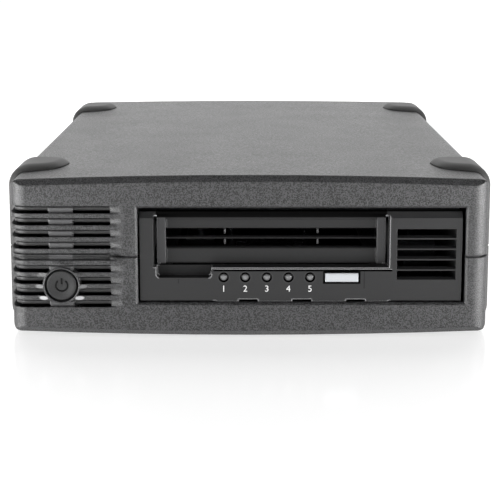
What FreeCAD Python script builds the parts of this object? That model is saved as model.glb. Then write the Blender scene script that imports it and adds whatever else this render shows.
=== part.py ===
import FreeCAD, Part
import math
import os

# External half-height tape drive, in millimetres.
# +X is to the right seen from the front, +Y runs from the front to the rear and +Z is up.
# The origin is on the table, in the middle of the plan.

# Case
BODY_WIDTH = 220.0           # over the side walls
BODY_DEPTH = 301.2           # front face to rear rim
BODY_HEIGHT = 71.4           # at the long edges, without crown and bumpers
FRONT_CROWN = 2.0            # rise of the arched top and bottom at the front
REAR_CROWN = 1.0             # the same at the rear
EDGE_RADIUS = 4.5            # long top and bottom edges
CORNER_RADIUS = 7.5          # upright corners
BEVEL_DEPTH = 2.7            # sloped band above and below the front face, along the depth
BEVEL_RISE = 2.7             # the same band, in height
WALL = 3.0                   # moulded walls of the shells
RIM = 3.0                    # rear rim, along the depth
RIM_WIDTH = 6.0              # rear rim, inward from the inner walls
SEAM_HEIGHT = 1.0            # shadow line between the shells
SEAM_DEPTH = 2.0

# Bumpers
BUMPER_RISE = 3.2            # above and below the case
BUMPER_SIDE = 4.0            # beyond the side walls
BUMPER_LENGTH = 34.0         # along the side wall
BUMPER_REACH = 23.4          # leaf, inward from the side wall
BUMPER_ROUND = 10.0          # skin round the case's long edge
BUMPER_EDGE = 6.0            # rounding along the outline
BUMPER_SPLIT = 1.2           # gap between upper and lower bumpers
BUMPER_FRONT_SETBACK = 36.0  # middle of the front bumpers, behind the front face
BUMPER_REAR_SETBACK = 40.0   # middle of the rear bumpers, ahead of the rear rim
# Outline of the leaf: share of the reach, share of half the length
BUMPER_LEAF = (
    (0.0, -1.0),
    (0.355, -0.824),
    (0.628, -0.671),
    (0.855, -0.394),
    (0.970, 0.059),
    (1.0, 0.471),
    (0.855, 0.853),
    (0.641, 0.971),
    (0.0, 1.0),
)

# Louvres at the front left
LOUVRE_COUNT = 9
LOUVRE_PITCH = 5.5
LOUVRE_HEIGHT = 3.4
LOUVRE_SETBACK = 1.5         # blade behind the front face
LOUVRE_TILT = 0.2            # blade's lower edge, further in
LOUVRE_SLOT = 1.1            # open slot between the blade and the rib
LOUVRE_FALL = 1.8            # fall of each rib's top face through the wall
LOUVRE_LINE = 0.7            # undercut above each blade
LOUVRE_LINE_DEPTH = 2.3
LOUVRE_SHARE = 0.788         # length of the open slots, as a share of the room left of the drive
LOUVRE_RUNOUT = 5.1          # ramp beyond the right end
LOUVRE_RAMP_DEPTH = 1.7
LOUVRE_SIDE_RUN = 8.0        # slots continue this far along the left side
BRIDGE_WIDTH = 11.0          # upright bar through the power button
BRIDGE_SETBACK = 0.4
BRIDGE_LINE = 0.9            # groove below each closed panel
SEAM_LOUVRE_LINE = 1.1       # the same below the panel over the seam

# Power button
POWER_OFFSET = 0.5           # button centre, right of the louvres' middle
POWER_DROP = 13.3            # button centre below the seam
POWER_RADIUS = 7.0
POWER_GAP = 0.8
POWER_TRAVEL = 2.5
POWER_DISH = 0.5             # hollow of the button's face
DISH_STEP = (0.6, 0.75)      # bend of the hollow, as shares of its radius and depth
BOSS_RISE = 1.2              # mound round the button, ahead of the front face
BOSS_RADIUS = 8.4
BOSS_FOOT_RADIUS = 12.0
STEM_RADIUS = 2.0
SWITCH_SIZE = 13.0
SWITCH_DEPTH = 14.0
SWITCH_BLADE = 6.0
SWITCH_BLADE_STEP = 4.5
SWITCH_BLADE_WIDTH = 3.0
SWITCH_BLADE_SHEET = 0.8
SWITCH_CORNER = 1.0
SWITCH_REST = 2.0            # bore beyond the stem's travel
STEM_CLEARANCE = 0.1
STEM_SINK = 0.6              # stem inside the switch at rest
BUTTON_SETBACK = 0.4         # button behind the mound's face
BUTTON_RIM = 1.2
BUTTON_EDGE = 0.5
BUTTON_LIP = 0.8             # retaining flange beyond the hole
SPRING_ROOM = 8.0            # between the flange and the switch
BUTTON_FLANGE = 1.2
SPRING_WIRE = 0.7
SPRING_RADIUS = 3.6
SPRING_TURNS = 4

# Drive bay
OPENING_CHAMFER = 1.0
OPENING_GAP_LEFT = 0.9       # between the bezel and the opening
OPENING_GAP_RIGHT = 1.5
OPENING_GAP_TOP = 2.2
OPENING_GAP_BOTTOM = 0.7
DRIVE_MARGIN = 12.5          # bezel's right edge, inward from the side wall
DRIVE_DROP = 0.3             # middle of the drive below the seam
DRIVE_RAIL_WIDTH = 9.0       # ribs that carry the drive
DRIVE_RAIL_INSET = 10.0      # their ends, inward from the chassis
DRIVE_SCREW_INSET = 7.0      # mounting screws, inward from the chassis's sides
DRIVE_SCREW_DEPTH = 5.0      # their heads, below the chassis
DRIVE_SCREW_SHARES = (0.25, 0.8)

# Bezel of the drive
BEZEL_OVERHANG = 1.0         # beyond the chassis, on each side
BEZEL_HEIGHT = 41.6
BEZEL_SETBACK = 2.0          # behind the case's front face
BEZEL_DEPTH = 6.5
BEZEL_PLATE = 2.6
BEZEL_RIM = 2.0
BEZEL_CHAMFER_DROP = 2.8
BEZEL_CHAMFER_RUN = 1.6
BEZEL_TOP_RAIL = 1.0         # rail above the cartridge mouth
MOUTH_RISE = 15.6            # floor of the mouth above the bezel's lower edge
NOTCH_WIDTH = 25.4           # finger notch
NOTCH_HEIGHT = 4.8
NOTCH_DEPTH = 5.3
NOTCH_CORNER = 0.9
LIP_HEIGHT = 1.0
LIP_GROOVE = 0.7
LIP_GROOVE_DEPTH = 1.2
LIP_GROOVE_START = 0.8       # groove, right of the finger notch
LIGHT_COUNT = 5
LIGHT_PITCH = 9.95
LIGHT_RADIUS = 1.6
LIGHT_HOLE_RADIUS = 2.3
LIGHT_START = 32.3           # first light, right of the mouth's left edge
LIGHT_SETBACK = 0.2
LIGHT_BAR = 1.5
LIGHT_BAR_MARGIN = 2.4
CONTROL_DROP = 4.6           # lights and eject button below the mouth's floor
EJECT_WIDTH = 15.2
EJECT_HEIGHT = 4.1
EJECT_GAP = 0.7
EJECT_START = 86.7           # middle of the eject button, right of the mouth's left edge
EJECT_TRAVEL = 1.0
EJECT_PROUD = 0.8
EJECT_EDGE = 0.4
EJECT_LIP = 0.7              # retaining flange beyond the hole
EJECT_FLANGE = 1.0
EJECT_STEM_RADIUS = 1.5
EJECT_CORNER = 1.0
GRILLE_MARGIN_LEFT = 3.4     # from the mouth's right edge
GRILLE_MARGIN_RIGHT = 2.6    # from the bezel's right edge
GRILLE_COUNT = 5
GRILLE_PITCH = 4.9
GRILLE_SLOT = 4.2
GRILLE_RISE = 0.8            # rise of each lower face through the plate
GRILLE_TOP_DROP = 7.9        # top of the first slot below the bezel's upper edge
SILL_LIP = 0.6               # lip under the bezel that closes the gap to the case
SILL_NOTCH_WIDTH = 9.0
SILL_NOTCH_PITCH = 24.8
SILL_NOTCH_COUNT = 3
SILL_START = 2.0             # sill lip, right of the finger notch
SILL_END = 0.5               # sill lip, left of the mouth's right edge

# Cartridge and its door
CARTRIDGE_WIDTH = 105.4
CARTRIDGE_HEIGHT = 21.5
CARTRIDGE_LENGTH = 102.0
CARTRIDGE_PLAY = 0.3
CARTRIDGE_REST = 3.0         # room behind a loaded cartridge
DOOR_THICKNESS = 2.6
DOOR_GAP = 1.3               # beside the door, in the mouth
DOOR_STRIP = 4.2             # raised strip at each end
DOOR_RECESS = 0.8            # middle panel, behind the strips
DOOR_SLOT = 4.4
DOOR_SLOT_PITCH = 4.95
DOOR_SLOT_COUNT = 2
DOOR_SLOT_RISE = 0.7
DOOR_SLOT_START = 7.3        # lower slot above the door's lower edge
DOOR_WEB = 0.9
DOOR_WEB_SPACING = 43.1
DOOR_WEB_SHARE = 0.6         # webs, as a share of the slot's height
PIN_RADIUS = 1.0
KNUCKLE_RADIUS = 1.6
LUG_WIDTH = 1.8
LUG_WALL = 0.3               # lugs beyond the knuckle
DOOR_HEAD = 1.0              # rim above the sunken panel
DOOR_WEB_SETBACK = 0.6

# Chassis of the drive
CHASSIS_WIDTH = 146.0
CHASSIS_DEPTH = 206.0
CHASSIS_WALL = 1.2
CHASSIS_FLOOR = 1.5
COVER_SHEET = 0.8
COVER_FLANGE = 8.0
RAIL_WALL = 2.0              # carriage rails
RAIL_LEDGE = 8.2             # ledge under the cartridge
RAIL_LEDGE_SHEET = 1.5
RAIL_HEIGHT = 20.0           # above the ledge
RAIL_REAR_DROP = 6.0         # rear wall below the rails
ROD_EYE_WALL = 2.0
ROD_EYE_RISE = 4.0           # eyes of the guide rods, above the ledge's underside
ROD_EYE_HEIGHT = 5.0
SLIDER_SETBACK = 1.0         # slider behind the carriage's front
SLIDER_MARGIN = 6.0          # cheeks beyond the lift pins
SLIDER_STRAP = 8.0
SLIDER_PLATE = 1.2
SLIDER_TRAVEL = 12.0
SLIDER_GAP = 0.4
LIFT = 4.0                   # drop of the carriage
LIFT_PIN_RADIUS = 1.5
LIFT_PIN_SPACING = 66.0
LIFT_SLOT_GAP = 0.2
LIFT_PIN_RISE = 8.0          # above the ledge
LIFT_PIN_SETBACK = 20.0      # first pin, behind the carriage's front
GUIDE_ROD_RADIUS = 1.5
GUIDE_ROD_SPACING = 40.0
GUIDE_ROD_SETBACK = 4.0      # behind the carriage's rear wall
GUIDE_ROD_DROP = 2.0         # top of the rods below the main board

# Loading gear
GEAR_MODULE = 0.7
GEAR_TEETH = 18
GEAR_WIDTH = 4.0
GEAR_BACKLASH = 0.16
PRESSURE_ANGLE = 20.0
GEAR_ADDENDUM = 0.9          # in modules
GEAR_DEDENDUM = 1.25
RACK_ADDENDUM = 0.45
RACK_BAR = 2.2
RACK_RISE = 14.5             # pitch line of the rack, above the chassis floor
RACK_LEAD = 3.0              # rack beyond the pinion, ahead of the travel
RACK_TAIL = 5.0              # rack beyond the pinion, at rest
PINION_GAP = 0.4             # beside the slider's cheek
LOAD_SHAFT_RADIUS = 1.0
LOAD_SHAFT_LENGTH = 4.0      # beyond the pinion
LOAD_MOTOR_RADIUS = 7.0
LOAD_MOTOR_GAP = 2.5         # between the pinion and the motor's body
LOAD_MOTOR_END_GAP = 2.0     # between the motor and the chassis wall
LOAD_NOSE_RADIUS = 3.0
LOAD_NOSE_LENGTH = 1.5
SADDLE_SHARE = 0.15          # saddle's ends, as a share of the motor's length
SADDLE_DROP = 3.0            # saddle's top below the shaft

# Reels, guides and head
HUB_RISE = 1.7               # chuck below the cartridge
CHUCK_RADIUS = 20.0
CHUCK_RISE = 1.0             # chuck above its motor
CHUCK_CROWN = 2.4            # height of the toothed crown
CHUCK_CROWN_OUTER = 17.0     # radius of the crown
CHUCK_CROWN_INNER = 12.0
CHUCK_TEETH = 12
CHUCK_TOOTH_GAP = 3.2
CHUCK_TOOTH_FOOT = 0.4
SHAFT_DROP = 2.0             # chuck's shaft end below its top
MOTOR_RADIUS = 24.0
MOTOR_HEIGHT = 4.2
SHAFT_RADIUS = 3.0
RUNNING_CLEARANCE = 0.05
REEL_RADIUS = 40.0
REEL_HUB_RADIUS = 18.0
REEL_FLANGE = 1.2
REEL_RISE = 1.5              # reel above its motor
REEL_SHARE = 0.581           # reel's middle, between the tape's line and the chassis wall
REEL_GAP = 4.5               # between the reel and the guide rods
REEL_HOLES = 6
REEL_HOLE_RADIUS = 5.0
LEADER_SLOT_DEPTH = 8.0      # slot in the hub that takes the tape's leader
LEADER_SLOT_WIDTH = 6.0
TAPE_WIDTH = 12.7
TAPE_PLAY = 1.0
TAPE_INSET = 9.0             # line of the tape, from the bay's left side
ROLLER_RADIUS = 5.0
ROLLER_FLANGE = 0.8
ROLLER_RIM = 1.2             # flanges beyond the roller
ROLLER_SPACING = 13.0
ROLLER_LEAD_IN = 3.0         # first roller, right of the tape's line
ROLLER_LEAD_OUT = 6.0        # last roller, right of the tape's line
POST_RADIUS = 1.5
POST_SHOULDER = 1.0
POST_END = 1.5               # posts above the rollers
GUIDE_BASE = 2.0
GUIDE_BASE_MARGIN = 5.0
HEAD_TRAVEL = 5.0
HEAD_HEIGHT = 12.0
HEAD_SETBACK = 37.0          # head behind the bay
HEAD_DROP = 1.0              # head below the tape's lower edge
HEAD_ROD_INSET = 4.6         # head's guide rod, from the chassis wall
HEAD_ROD_END = 3.0           # rod above the head's travel
HEAD_ARM = 11.0              # width of the head's carriage
HEAD_ARM_BACK = 3.4          # carriage beyond the rod
HEAD_NOSE = 3.5              # tapered nose of the head
HEAD_NOSE_FOOT = 9.0
HEAD_NOSE_TIP = 5.0
COIL_THICKNESS = 3.0
COIL_LENGTH = 8.5
COIL_INSET = 2.0
YOKE_WIDTH = 8.4
YOKE_LENGTH = 11.5
YOKE_GAP = 1.0               # between the head's carriage and the yoke
YOKE_SLOT_LENGTH = 8.5

# Boards
BOARD = 1.6
MAIN_BOARD_DROP = 7.0        # below the drive's cover
MAIN_BOARD_GAP = 1.0         # from the chassis walls
MAIN_BOARD_SETBACK = 9.0     # behind the cartridge bay
MAIN_POST_RADIUS = 2.5
MAIN_POST_INSET = 5.0
MAIN_POST_FRONT = 14.0       # front posts behind the cartridge bay
MAIN_POST_REAR = 7.0         # rear posts ahead of the chassis's rear
CHIP_SIZES = (28.0, 18.0, 12.0)
CHIP_HEIGHT = 1.8
CHIP_SHARES = (0.3, 0.57, 0.78)
FRONT_BOARD_GAP = 1.0        # behind the bezel
FRONT_BOARD_MARGIN = 5.0     # beyond its posts
FRONT_BOARD_TOP = 2.6        # above the lights' middle
FRONT_POST_RADIUS = 2.0
FRONT_POST_RISE = 5.0        # above the bezel's lower edge
FRONT_POST_OFFSET = 5.0      # left of the first light
LED_WIDTH = 3.2
LED_HEIGHT = 1.6
LED_DEPTH = 1.1
TACT_WIDTH = 6.0
TACT_HEIGHT = 4.4
TACT_DEPTH = 1.4

# Power supply
SUPPLY_GAP = 7.7             # between the board and the drive
SUPPLY_LENGTH = 145.0
SUPPLY_START = 100.0         # behind the case's front face
SUPPLY_STAND = 6.0
SUPPLY_MARGIN = 2.0          # from the left wall
SUPPLY_SCREW_INSET = 4.0
TRANSFORMER_HEIGHT = 26.0
TRANSFORMER_CORE = 16.0      # along the depth
CORE_SHARE = 0.6             # core's width, as a share of the board's
BOBBIN_HEIGHT = 21.0
BOBBIN_LENGTH = 30.0
BOBBIN_SHARE = 0.38          # bobbin's width, as a share of the board's
BULK_CAPACITOR_HEIGHT = 28.0
BULK_CAPACITOR_RADIUS = 8.9
BULK_CAPACITOR_MARGIN = 1.5  # from the board's left edge
BULK_CAPACITOR_SHARE = 0.25  # along the board
OUTPUT_CAPACITOR_HEIGHT = 20.0
OUTPUT_CAPACITOR_RADIUS = 4.9
OUTPUT_CAPACITOR_SHARE = 0.78
OUTPUT_CAPACITOR_STEP = 11.5
OUTPUT_CAPACITOR_SHIFT = 0.041   # left of the board's middle, as a share of its width
SINK_LENGTH = 32.0
SINK_HEIGHT = 24.0
SINK_PLACES = ((0.27, 0.372), (0.73, -0.372))    # shares along and across the board
SINK_PLATE_SHARE = 0.051
FIN_SHARE = 0.17
FIN_COUNT = 4
FIN_PITCH = 8.0
FIN_SHEET = 1.6
FIN_FOOT = 6.0               # fins begin this far above the board

# Screws
SCREW_RADIUS = 1.45
SCREW_HEAD_RADIUS = 2.6
SCREW_HEAD = 1.5
SCREW_CLEARANCE = 0.05
BOSS_TUBE_RADIUS = 3.6
CASE_SCREW_SINK = 22.0       # case screw heads above the case's underside
CASE_SCREW_LENGTH = 20.0
CASE_BOSS_INSET = 4.6        # case bosses, inward from the inner side walls
CASE_BOSS_FRONT_SETBACK = 58.0
CASE_BOSS_REAR_SETBACK = 18.0
PANEL_SCREW_BITE = 3.0       # rear panel screws, beyond the panel
FAN_SCREW_BITE = 8.0         # fan screws, into the fan's frame
SUPPLY_SCREW_REST = 1.5      # floor left under the supply screws
RECESS_SHARE = 0.6           # cross recess, as a share of the head's radius
RECESS_WIDTH = 0.6
RECESS_DEPTH = 0.8

# Rear panel, inlet, data port and fan
PANEL_SHEET = 1.2
PANEL_PLAY = 0.3
PANEL_CORNER = 2.0
FAN_SIZE = 50.0
FAN_DEPTH = 20.0
FAN_OFFSET = 9.0             # fan, right of the middle between the inlet and the data socket
FAN_DUCT_RADIUS = 23.5
FAN_TIP_RADIUS = 22.0
FAN_HUB_RADIUS = 11.5
FAN_HOLE_SPACING = 40.0
FAN_BLADES = 7
FAN_PLATE_INSET = 1.0        # hub plate inside the hub's radius
FAN_PLATE = 3.0
FAN_CORNER = 3.0
FAN_STRUT = 3.0
FAN_SHAFT_LENGTH = 10.0
FAN_HOLE_DEPTH = 9.0
FAN_HUB_INSET = 2.0
FAN_HUB_GAP = 0.5            # between the hub and the frame's plate
BLADE_SHEET = 1.2
BLADE_ROOT_CHORD = 10.0
BLADE_TIP_CHORD = 11.0
BLADE_ROOT_PITCH = 50.0
BLADE_TIP_PITCH = 32.0
GUARD_WIRE = 1.4
GUARD_EYE_RIM = 0.8
GUARD_RINGS = 4
GUARD_RING_PITCH = 5.0
INLET_INSET = 36.0           # middle of the inlet, from the left side wall
INLET_WIDTH = 24.0           # socket, inside
INLET_HEIGHT = 16.4
INLET_DEPTH = 16.0
INLET_WALL = 1.6
INLET_FLANGE = 2.0
INLET_RIM = 2.5              # flange beyond the body
INLET_FLOOR = 3.0
INLET_CORNER = 2.0
PIN_SPACING = 14.0           # outer contact blades
PIN_STAGGER = 2.0
PIN_WIDTH = 4.0
PIN_SHEET = 2.0
PIN_LENGTH = 10.0
PORT_INSET = 38.0            # middle of the data socket, from the right side wall
PORT_WIDTH = 22.0            # data socket, inside
PORT_HEIGHT = 8.2
PORT_DEPTH = 14.0
PORT_WALL = 1.0
PORT_RIM = 1.5               # flange beyond the body
TONGUE_MARGIN = 2.0
TONGUE_SHEET = 1.2
TONGUE_SETBACK = 6.0
PORT_DROP = 12.0             # data socket below the seam
PORT_FLANGE = 1.0
PORT_BACK = 6.0
INLET_TAB = 9.0              # contact blades behind the socket's floor

# Inner cables
CONNECTOR_PROUD = 3.0        # drive's receptacles, beyond the chassis
CONNECTOR_DEPTH = 10.0       # the same, inside the chassis
CONNECTOR_HEIGHT = 9.0
DATA_CONNECTOR_WIDTH = 24.0
DATA_CONNECTOR_INSET = 24.5  # middle, from the chassis's right side
POWER_CONNECTOR_WIDTH = 22.0
POWER_CONNECTOR_INSET = 24.0 # middle, from the chassis's left side
POWER_CABLE_RUN = 14.0
POWER_CABLE_DIP = 10.0
DATA_CABLE_RADIUS = 3.0
POWER_CABLE_RADIUS = 2.5
BEND_SHARE = 0.45            # bends of the cables, as a share of the shorter run
LEAD_RADIUS = 1.2
PLUG_HEIGHT = 10.0
PLUG_SHARE = 0.21            # plugs' width, as a share of the supply board's
PLUG_INSET_SHARE = 0.085     # output plug, from the supply board's right edge
PLUG_LENGTH = 12.0
MAINS_PLUG_LENGTH = 8.0
SWITCH_PLUG_LENGTH = 6.0
SWITCH_PLUG_SETBACK = 2.0    # behind the supply board's front edge
SWITCH_PLUG_MARGIN = 2.5
PLUG_SETBACK = 23.0          # output plug, ahead of the supply board's rear edge
MAINS_PLUG_SETBACK = 7.5     # mains plug, ahead of the supply board's rear edge

# Places that follow from the driving dimensions
LOW = BUMPER_RISE
HIGH = LOW + BODY_HEIGHT
MID = (LOW + HIGH) / 2
TOP = HIGH + BUMPER_RISE
HALF = BODY_WIDTH / 2
FRONT = -(BODY_DEPTH - BOSS_RISE) / 2
REAR = FRONT + BODY_DEPTH
INNER_HALF = HALF - WALL
INNER_LOW = LOW + WALL
INNER_HIGH = HIGH - WALL
INNER_FRONT = FRONT + WALL
INLET_X = INLET_INSET - HALF
PORT_X = HALF - PORT_INSET
FAN_X = (INLET_X + PORT_X) / 2 + FAN_OFFSET
PANEL_REAR = REAR - RIM
PANEL_FRONT = PANEL_REAR - PANEL_SHEET
PAST = 1.0                   # how far a cutter runs past what it cuts
TOUCH = 0.01                 # lengths below this count as none
MIN_RADIUS = 1.0             # smallest rounding inside the walls
BUMPER_LOW = MID + BUMPER_SPLIT / 2
LOUVRE_AHEAD = -BOSS_RISE - PAST             # where the louvres' cutters begin, ahead of the mound
POWER_Z = MID - POWER_DROP

BEZEL_WIDTH = CHASSIS_WIDTH + 2 * BEZEL_OVERHANG
BEZEL_FRONT = FRONT + BEZEL_SETBACK
BEZEL_BACK = BEZEL_FRONT + BEZEL_DEPTH
BEZEL_INNER = BEZEL_FRONT + BEZEL_PLATE
BEZEL_RIGHT = HALF - DRIVE_MARGIN
BEZEL_LEFT = BEZEL_RIGHT - BEZEL_WIDTH
DRIVE_X = (BEZEL_LEFT + BEZEL_RIGHT) / 2
BEZEL_LOW = MID - DRIVE_DROP - BEZEL_HEIGHT / 2
BEZEL_HIGH = BEZEL_LOW + BEZEL_HEIGHT
OPENING_LEFT = BEZEL_LEFT - OPENING_GAP_LEFT
OPENING_RIGHT = BEZEL_RIGHT + OPENING_GAP_RIGHT
OPENING_LOW = BEZEL_LOW - OPENING_GAP_BOTTOM
OPENING_HIGH = BEZEL_HIGH + OPENING_GAP_TOP
LOUVRE_RIGHT = -HALF + LOUVRE_SHARE * (OPENING_LEFT + HALF)
POWER_X = (LOUVRE_RIGHT - HALF) / 2 + POWER_OFFSET

CHASSIS_LEFT = DRIVE_X - CHASSIS_WIDTH / 2
CHASSIS_RIGHT = DRIVE_X + CHASSIS_WIDTH / 2
CHASSIS_REAR = BEZEL_BACK + CHASSIS_DEPTH
CHASSIS_TOP = BEZEL_HIGH - COVER_SHEET
FLOOR = BEZEL_LOW + CHASSIS_FLOOR

SLIDER_LEFT = CHASSIS_LEFT + CHASSIS_WALL + SLIDER_GAP
RAIL_LEFT = SLIDER_LEFT + SLIDER_PLATE + SLIDER_GAP
BAY_LEFT = RAIL_LEFT + RAIL_WALL
BAY_WIDTH = CARTRIDGE_WIDTH + 2 * (CARTRIDGE_PLAY + DOOR_GAP)
BAY_RIGHT = BAY_LEFT + BAY_WIDTH
BAY_X = (BAY_LEFT + BAY_RIGHT) / 2
RAIL_RIGHT = BAY_RIGHT + RAIL_WALL
SLIDER_RIGHT = RAIL_RIGHT + SLIDER_GAP + SLIDER_PLATE

MOUTH_LOW = BEZEL_LOW + MOUTH_RISE
MOUTH_HIGH = BEZEL_HIGH - BEZEL_TOP_RAIL
DOOR_WIDTH = CARTRIDGE_WIDTH + 2 * CARTRIDGE_PLAY
DOOR_LEFT = BAY_X - DOOR_WIDTH / 2
DOOR_RIGHT = BAY_X + DOOR_WIDTH / 2
MOUTH_LEFT = DOOR_LEFT - DOOR_GAP
MOUTH_RIGHT = DOOR_RIGHT + DOOR_GAP
DOOR_FRONT = BEZEL_BACK + CARTRIDGE_PLAY
DOOR_BACK = DOOR_FRONT + DOOR_THICKNESS
DOOR_LOW = MOUTH_LOW + CARTRIDGE_PLAY
PIVOT_Y = DOOR_FRONT + DOOR_THICKNESS / 2
PIVOT_Z = MOUTH_LOW + CARTRIDGE_HEIGHT + CARTRIDGE_PLAY + DOOR_THICKNESS / 2
CONTROL_Z = MOUTH_LOW - CONTROL_DROP

BAY_FRONT = DOOR_BACK + 2 * CARTRIDGE_PLAY
BAY_REAR = BAY_FRONT + CARTRIDGE_LENGTH + CARTRIDGE_REST
BAY_LOW = MOUTH_LOW - CARTRIDGE_PLAY
LEDGE_LOW = BAY_LOW - RAIL_LEDGE_SHEET
RAIL_HIGH = BAY_LOW + RAIL_HEIGHT
LIFT_PIN_Z = BAY_LOW + LIFT_PIN_RISE
LIFT_PIN_FRONT = BAY_FRONT + LIFT_PIN_SETBACK
LIFT_PIN_REAR = LIFT_PIN_FRONT + LIFT_PIN_SPACING
GUIDE_ROD_Y = BAY_REAR + RAIL_WALL + GUIDE_ROD_SETBACK

GEAR_RADIUS = GEAR_MODULE * GEAR_TEETH / 2
RACK_Z = FLOOR + RACK_RISE
PINION_Z = RACK_Z - GEAR_RADIUS
PINION_Y = (LIFT_PIN_FRONT + LIFT_PIN_REAR) / 2
RACK_LEFT = SLIDER_RIGHT
RACK_RIGHT = RACK_LEFT + GEAR_WIDTH

HUB_Y = BAY_FRONT + CARTRIDGE_LENGTH / 2
CHUCK_TOP = BAY_LOW - HUB_RISE
MOTOR_TOP = FLOOR + MOTOR_HEIGHT
REEL_Y = GUIDE_ROD_Y + REEL_RADIUS + REEL_GAP
REEL_LOW = MOTOR_TOP + REEL_RISE
REEL_HIGH = REEL_LOW + TAPE_WIDTH + 2 * REEL_FLANGE + TAPE_PLAY
TAPE_X = BAY_LEFT + TAPE_INSET              # line along which the tape passes the head
REEL_X = TAPE_X + REEL_SHARE * (CHASSIS_RIGHT - TAPE_X)
HEAD_Y = BAY_REAR + HEAD_SETBACK
ROLLER_PLACES = [
    (TAPE_X + ROLLER_RADIUS + ROLLER_LEAD_IN, HEAD_Y - 2 * ROLLER_SPACING),
    (TAPE_X + ROLLER_RADIUS, HEAD_Y - ROLLER_SPACING),
    (TAPE_X + ROLLER_RADIUS, HEAD_Y + ROLLER_SPACING),
    (TAPE_X + ROLLER_RADIUS + ROLLER_LEAD_OUT, HEAD_Y + 2 * ROLLER_SPACING),
]
GUIDE_BASE_TOP = FLOOR + GUIDE_BASE
ROD_X = CHASSIS_LEFT + CHASSIS_WALL + HEAD_ROD_INSET
MAIN_BOARD_Z = BEZEL_HIGH - MAIN_BOARD_DROP

SUPPLY_LEFT = -INNER_HALF + SUPPLY_MARGIN
SUPPLY_RIGHT = CHASSIS_LEFT - COVER_SHEET - SUPPLY_GAP
SUPPLY_WIDTH = SUPPLY_RIGHT - SUPPLY_LEFT
SUPPLY_X = (SUPPLY_LEFT + SUPPLY_RIGHT) / 2
SUPPLY_FRONT = FRONT + SUPPLY_START
SUPPLY_REAR = SUPPLY_FRONT + SUPPLY_LENGTH
SUPPLY_Z = INNER_LOW + SUPPLY_STAND
SUPPLY_TOP = SUPPLY_Z + BOARD
PORT_Z = MID - PORT_DROP
FAN_FRONT = PANEL_FRONT - FAN_DEPTH
CASE_BOSS_X = INNER_HALF - CASE_BOSS_INSET
CASE_BOSS_FRONT = FRONT + CASE_BOSS_FRONT_SETBACK
CASE_BOSS_REAR = REAR - CASE_BOSS_REAR_SETBACK


def vector(x, y, z):
    return FreeCAD.Vector(x, y, z)


def box(x0, x1, y0, y1, z0, z1):
    return Part.makeBox(x1 - x0, y1 - y0, z1 - z0, vector(x0, y0, z0))


def rod_x(y, z, radius, x0, x1):
    return Part.makeCylinder(radius, x1 - x0, vector(x0, y, z), vector(1, 0, 0))


def rod_y(x, z, radius, y0, y1):
    return Part.makeCylinder(radius, y1 - y0, vector(x, y0, z), vector(0, 1, 0))


def rod_z(x, y, radius, z0, z1):
    return Part.makeCylinder(radius, z1 - z0, vector(x, y, z0), vector(0, 0, 1))


def polygon(points):
    return Part.Face(Part.makePolygon(points + points[:1]))


def prism_x(points, x0, x1):
    """Prism along X over a polygon of (y, z) points."""
    return polygon([vector(x0, y, z) for y, z in points]).extrude(vector(x1 - x0, 0, 0))


def prism_y(points, y0, y1):
    """Prism along Y over a polygon of (x, z) points."""
    return polygon([vector(x, y0, z) for x, z in points]).extrude(vector(0, y1 - y0, 0))


def prism_z(points, z0, z1):
    """Prism along Z over a polygon of (x, y) points."""
    return polygon([vector(x, y, z0) for x, y in points]).extrude(vector(0, 0, z1 - z0))


def rounded_box(x0, x1, y0, y1, z0, z1, radius, axis):
    """Box whose four edges along one axis are rounded."""
    block = box(x0, x1, y0, y1, z0, z1)
    edges = [edge for edge in block.Edges if abs(edge.tangentAt(edge.FirstParameter).dot(axis)) > 0.9]
    return block.makeFillet(radius, edges)


def arc(start, through, end):
    return Part.Arc(start, through, end).toShape()


def line(start, end):
    return Part.LineSegment(start, end).toShape()


def section_wire(y, half, low, high, radius, crown):
    """Closed section of the case at one depth: upright sides, rounded edges, arched top and bottom."""
    diagonal = radius * (1 - math.sqrt(0.5))
    bend = half - diagonal
    flat = half - radius
    edges = [
        line(vector(half, y, low + radius), vector(half, y, high - radius)),
        arc(vector(half, y, high - radius), vector(bend, y, high - diagonal), vector(flat, y, high)),
        arc(vector(flat, y, high), vector(0, y, high + crown), vector(-flat, y, high)),
        arc(vector(-flat, y, high), vector(-bend, y, high - diagonal), vector(-half, y, high - radius)),
        line(vector(-half, y, high - radius), vector(-half, y, low + radius)),
        arc(vector(-half, y, low + radius), vector(-bend, y, low + diagonal), vector(-flat, y, low)),
        arc(vector(-flat, y, low), vector(0, y, low - crown), vector(flat, y, low)),
        arc(vector(flat, y, low), vector(bend, y, low + diagonal), vector(half, y, low + radius)),
    ]
    return Part.Wire(edges)


def plan_block(half, front, rear, radius):
    """Tall block with the case's plan outline."""
    return rounded_box(-half, half, front, rear, -PAST, TOP + PAST, radius, vector(0, 0, 1))


def outer_body():
    """The whole case as one solid: arched sections lofted along the depth, with the bevel at the front."""
    inset = BEVEL_RISE
    sections = [
        section_wire(FRONT, HALF, LOW + inset, HIGH - inset, EDGE_RADIUS, FRONT_CROWN),
        section_wire(FRONT + BEVEL_DEPTH, HALF, LOW, HIGH, EDGE_RADIUS, FRONT_CROWN),
        section_wire(REAR, HALF, LOW, HIGH, EDGE_RADIUS, REAR_CROWN),
    ]
    loft = Part.makeLoft(sections, True, True)
    return loft.common(plan_block(HALF, FRONT, REAR, CORNER_RADIUS))


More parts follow.
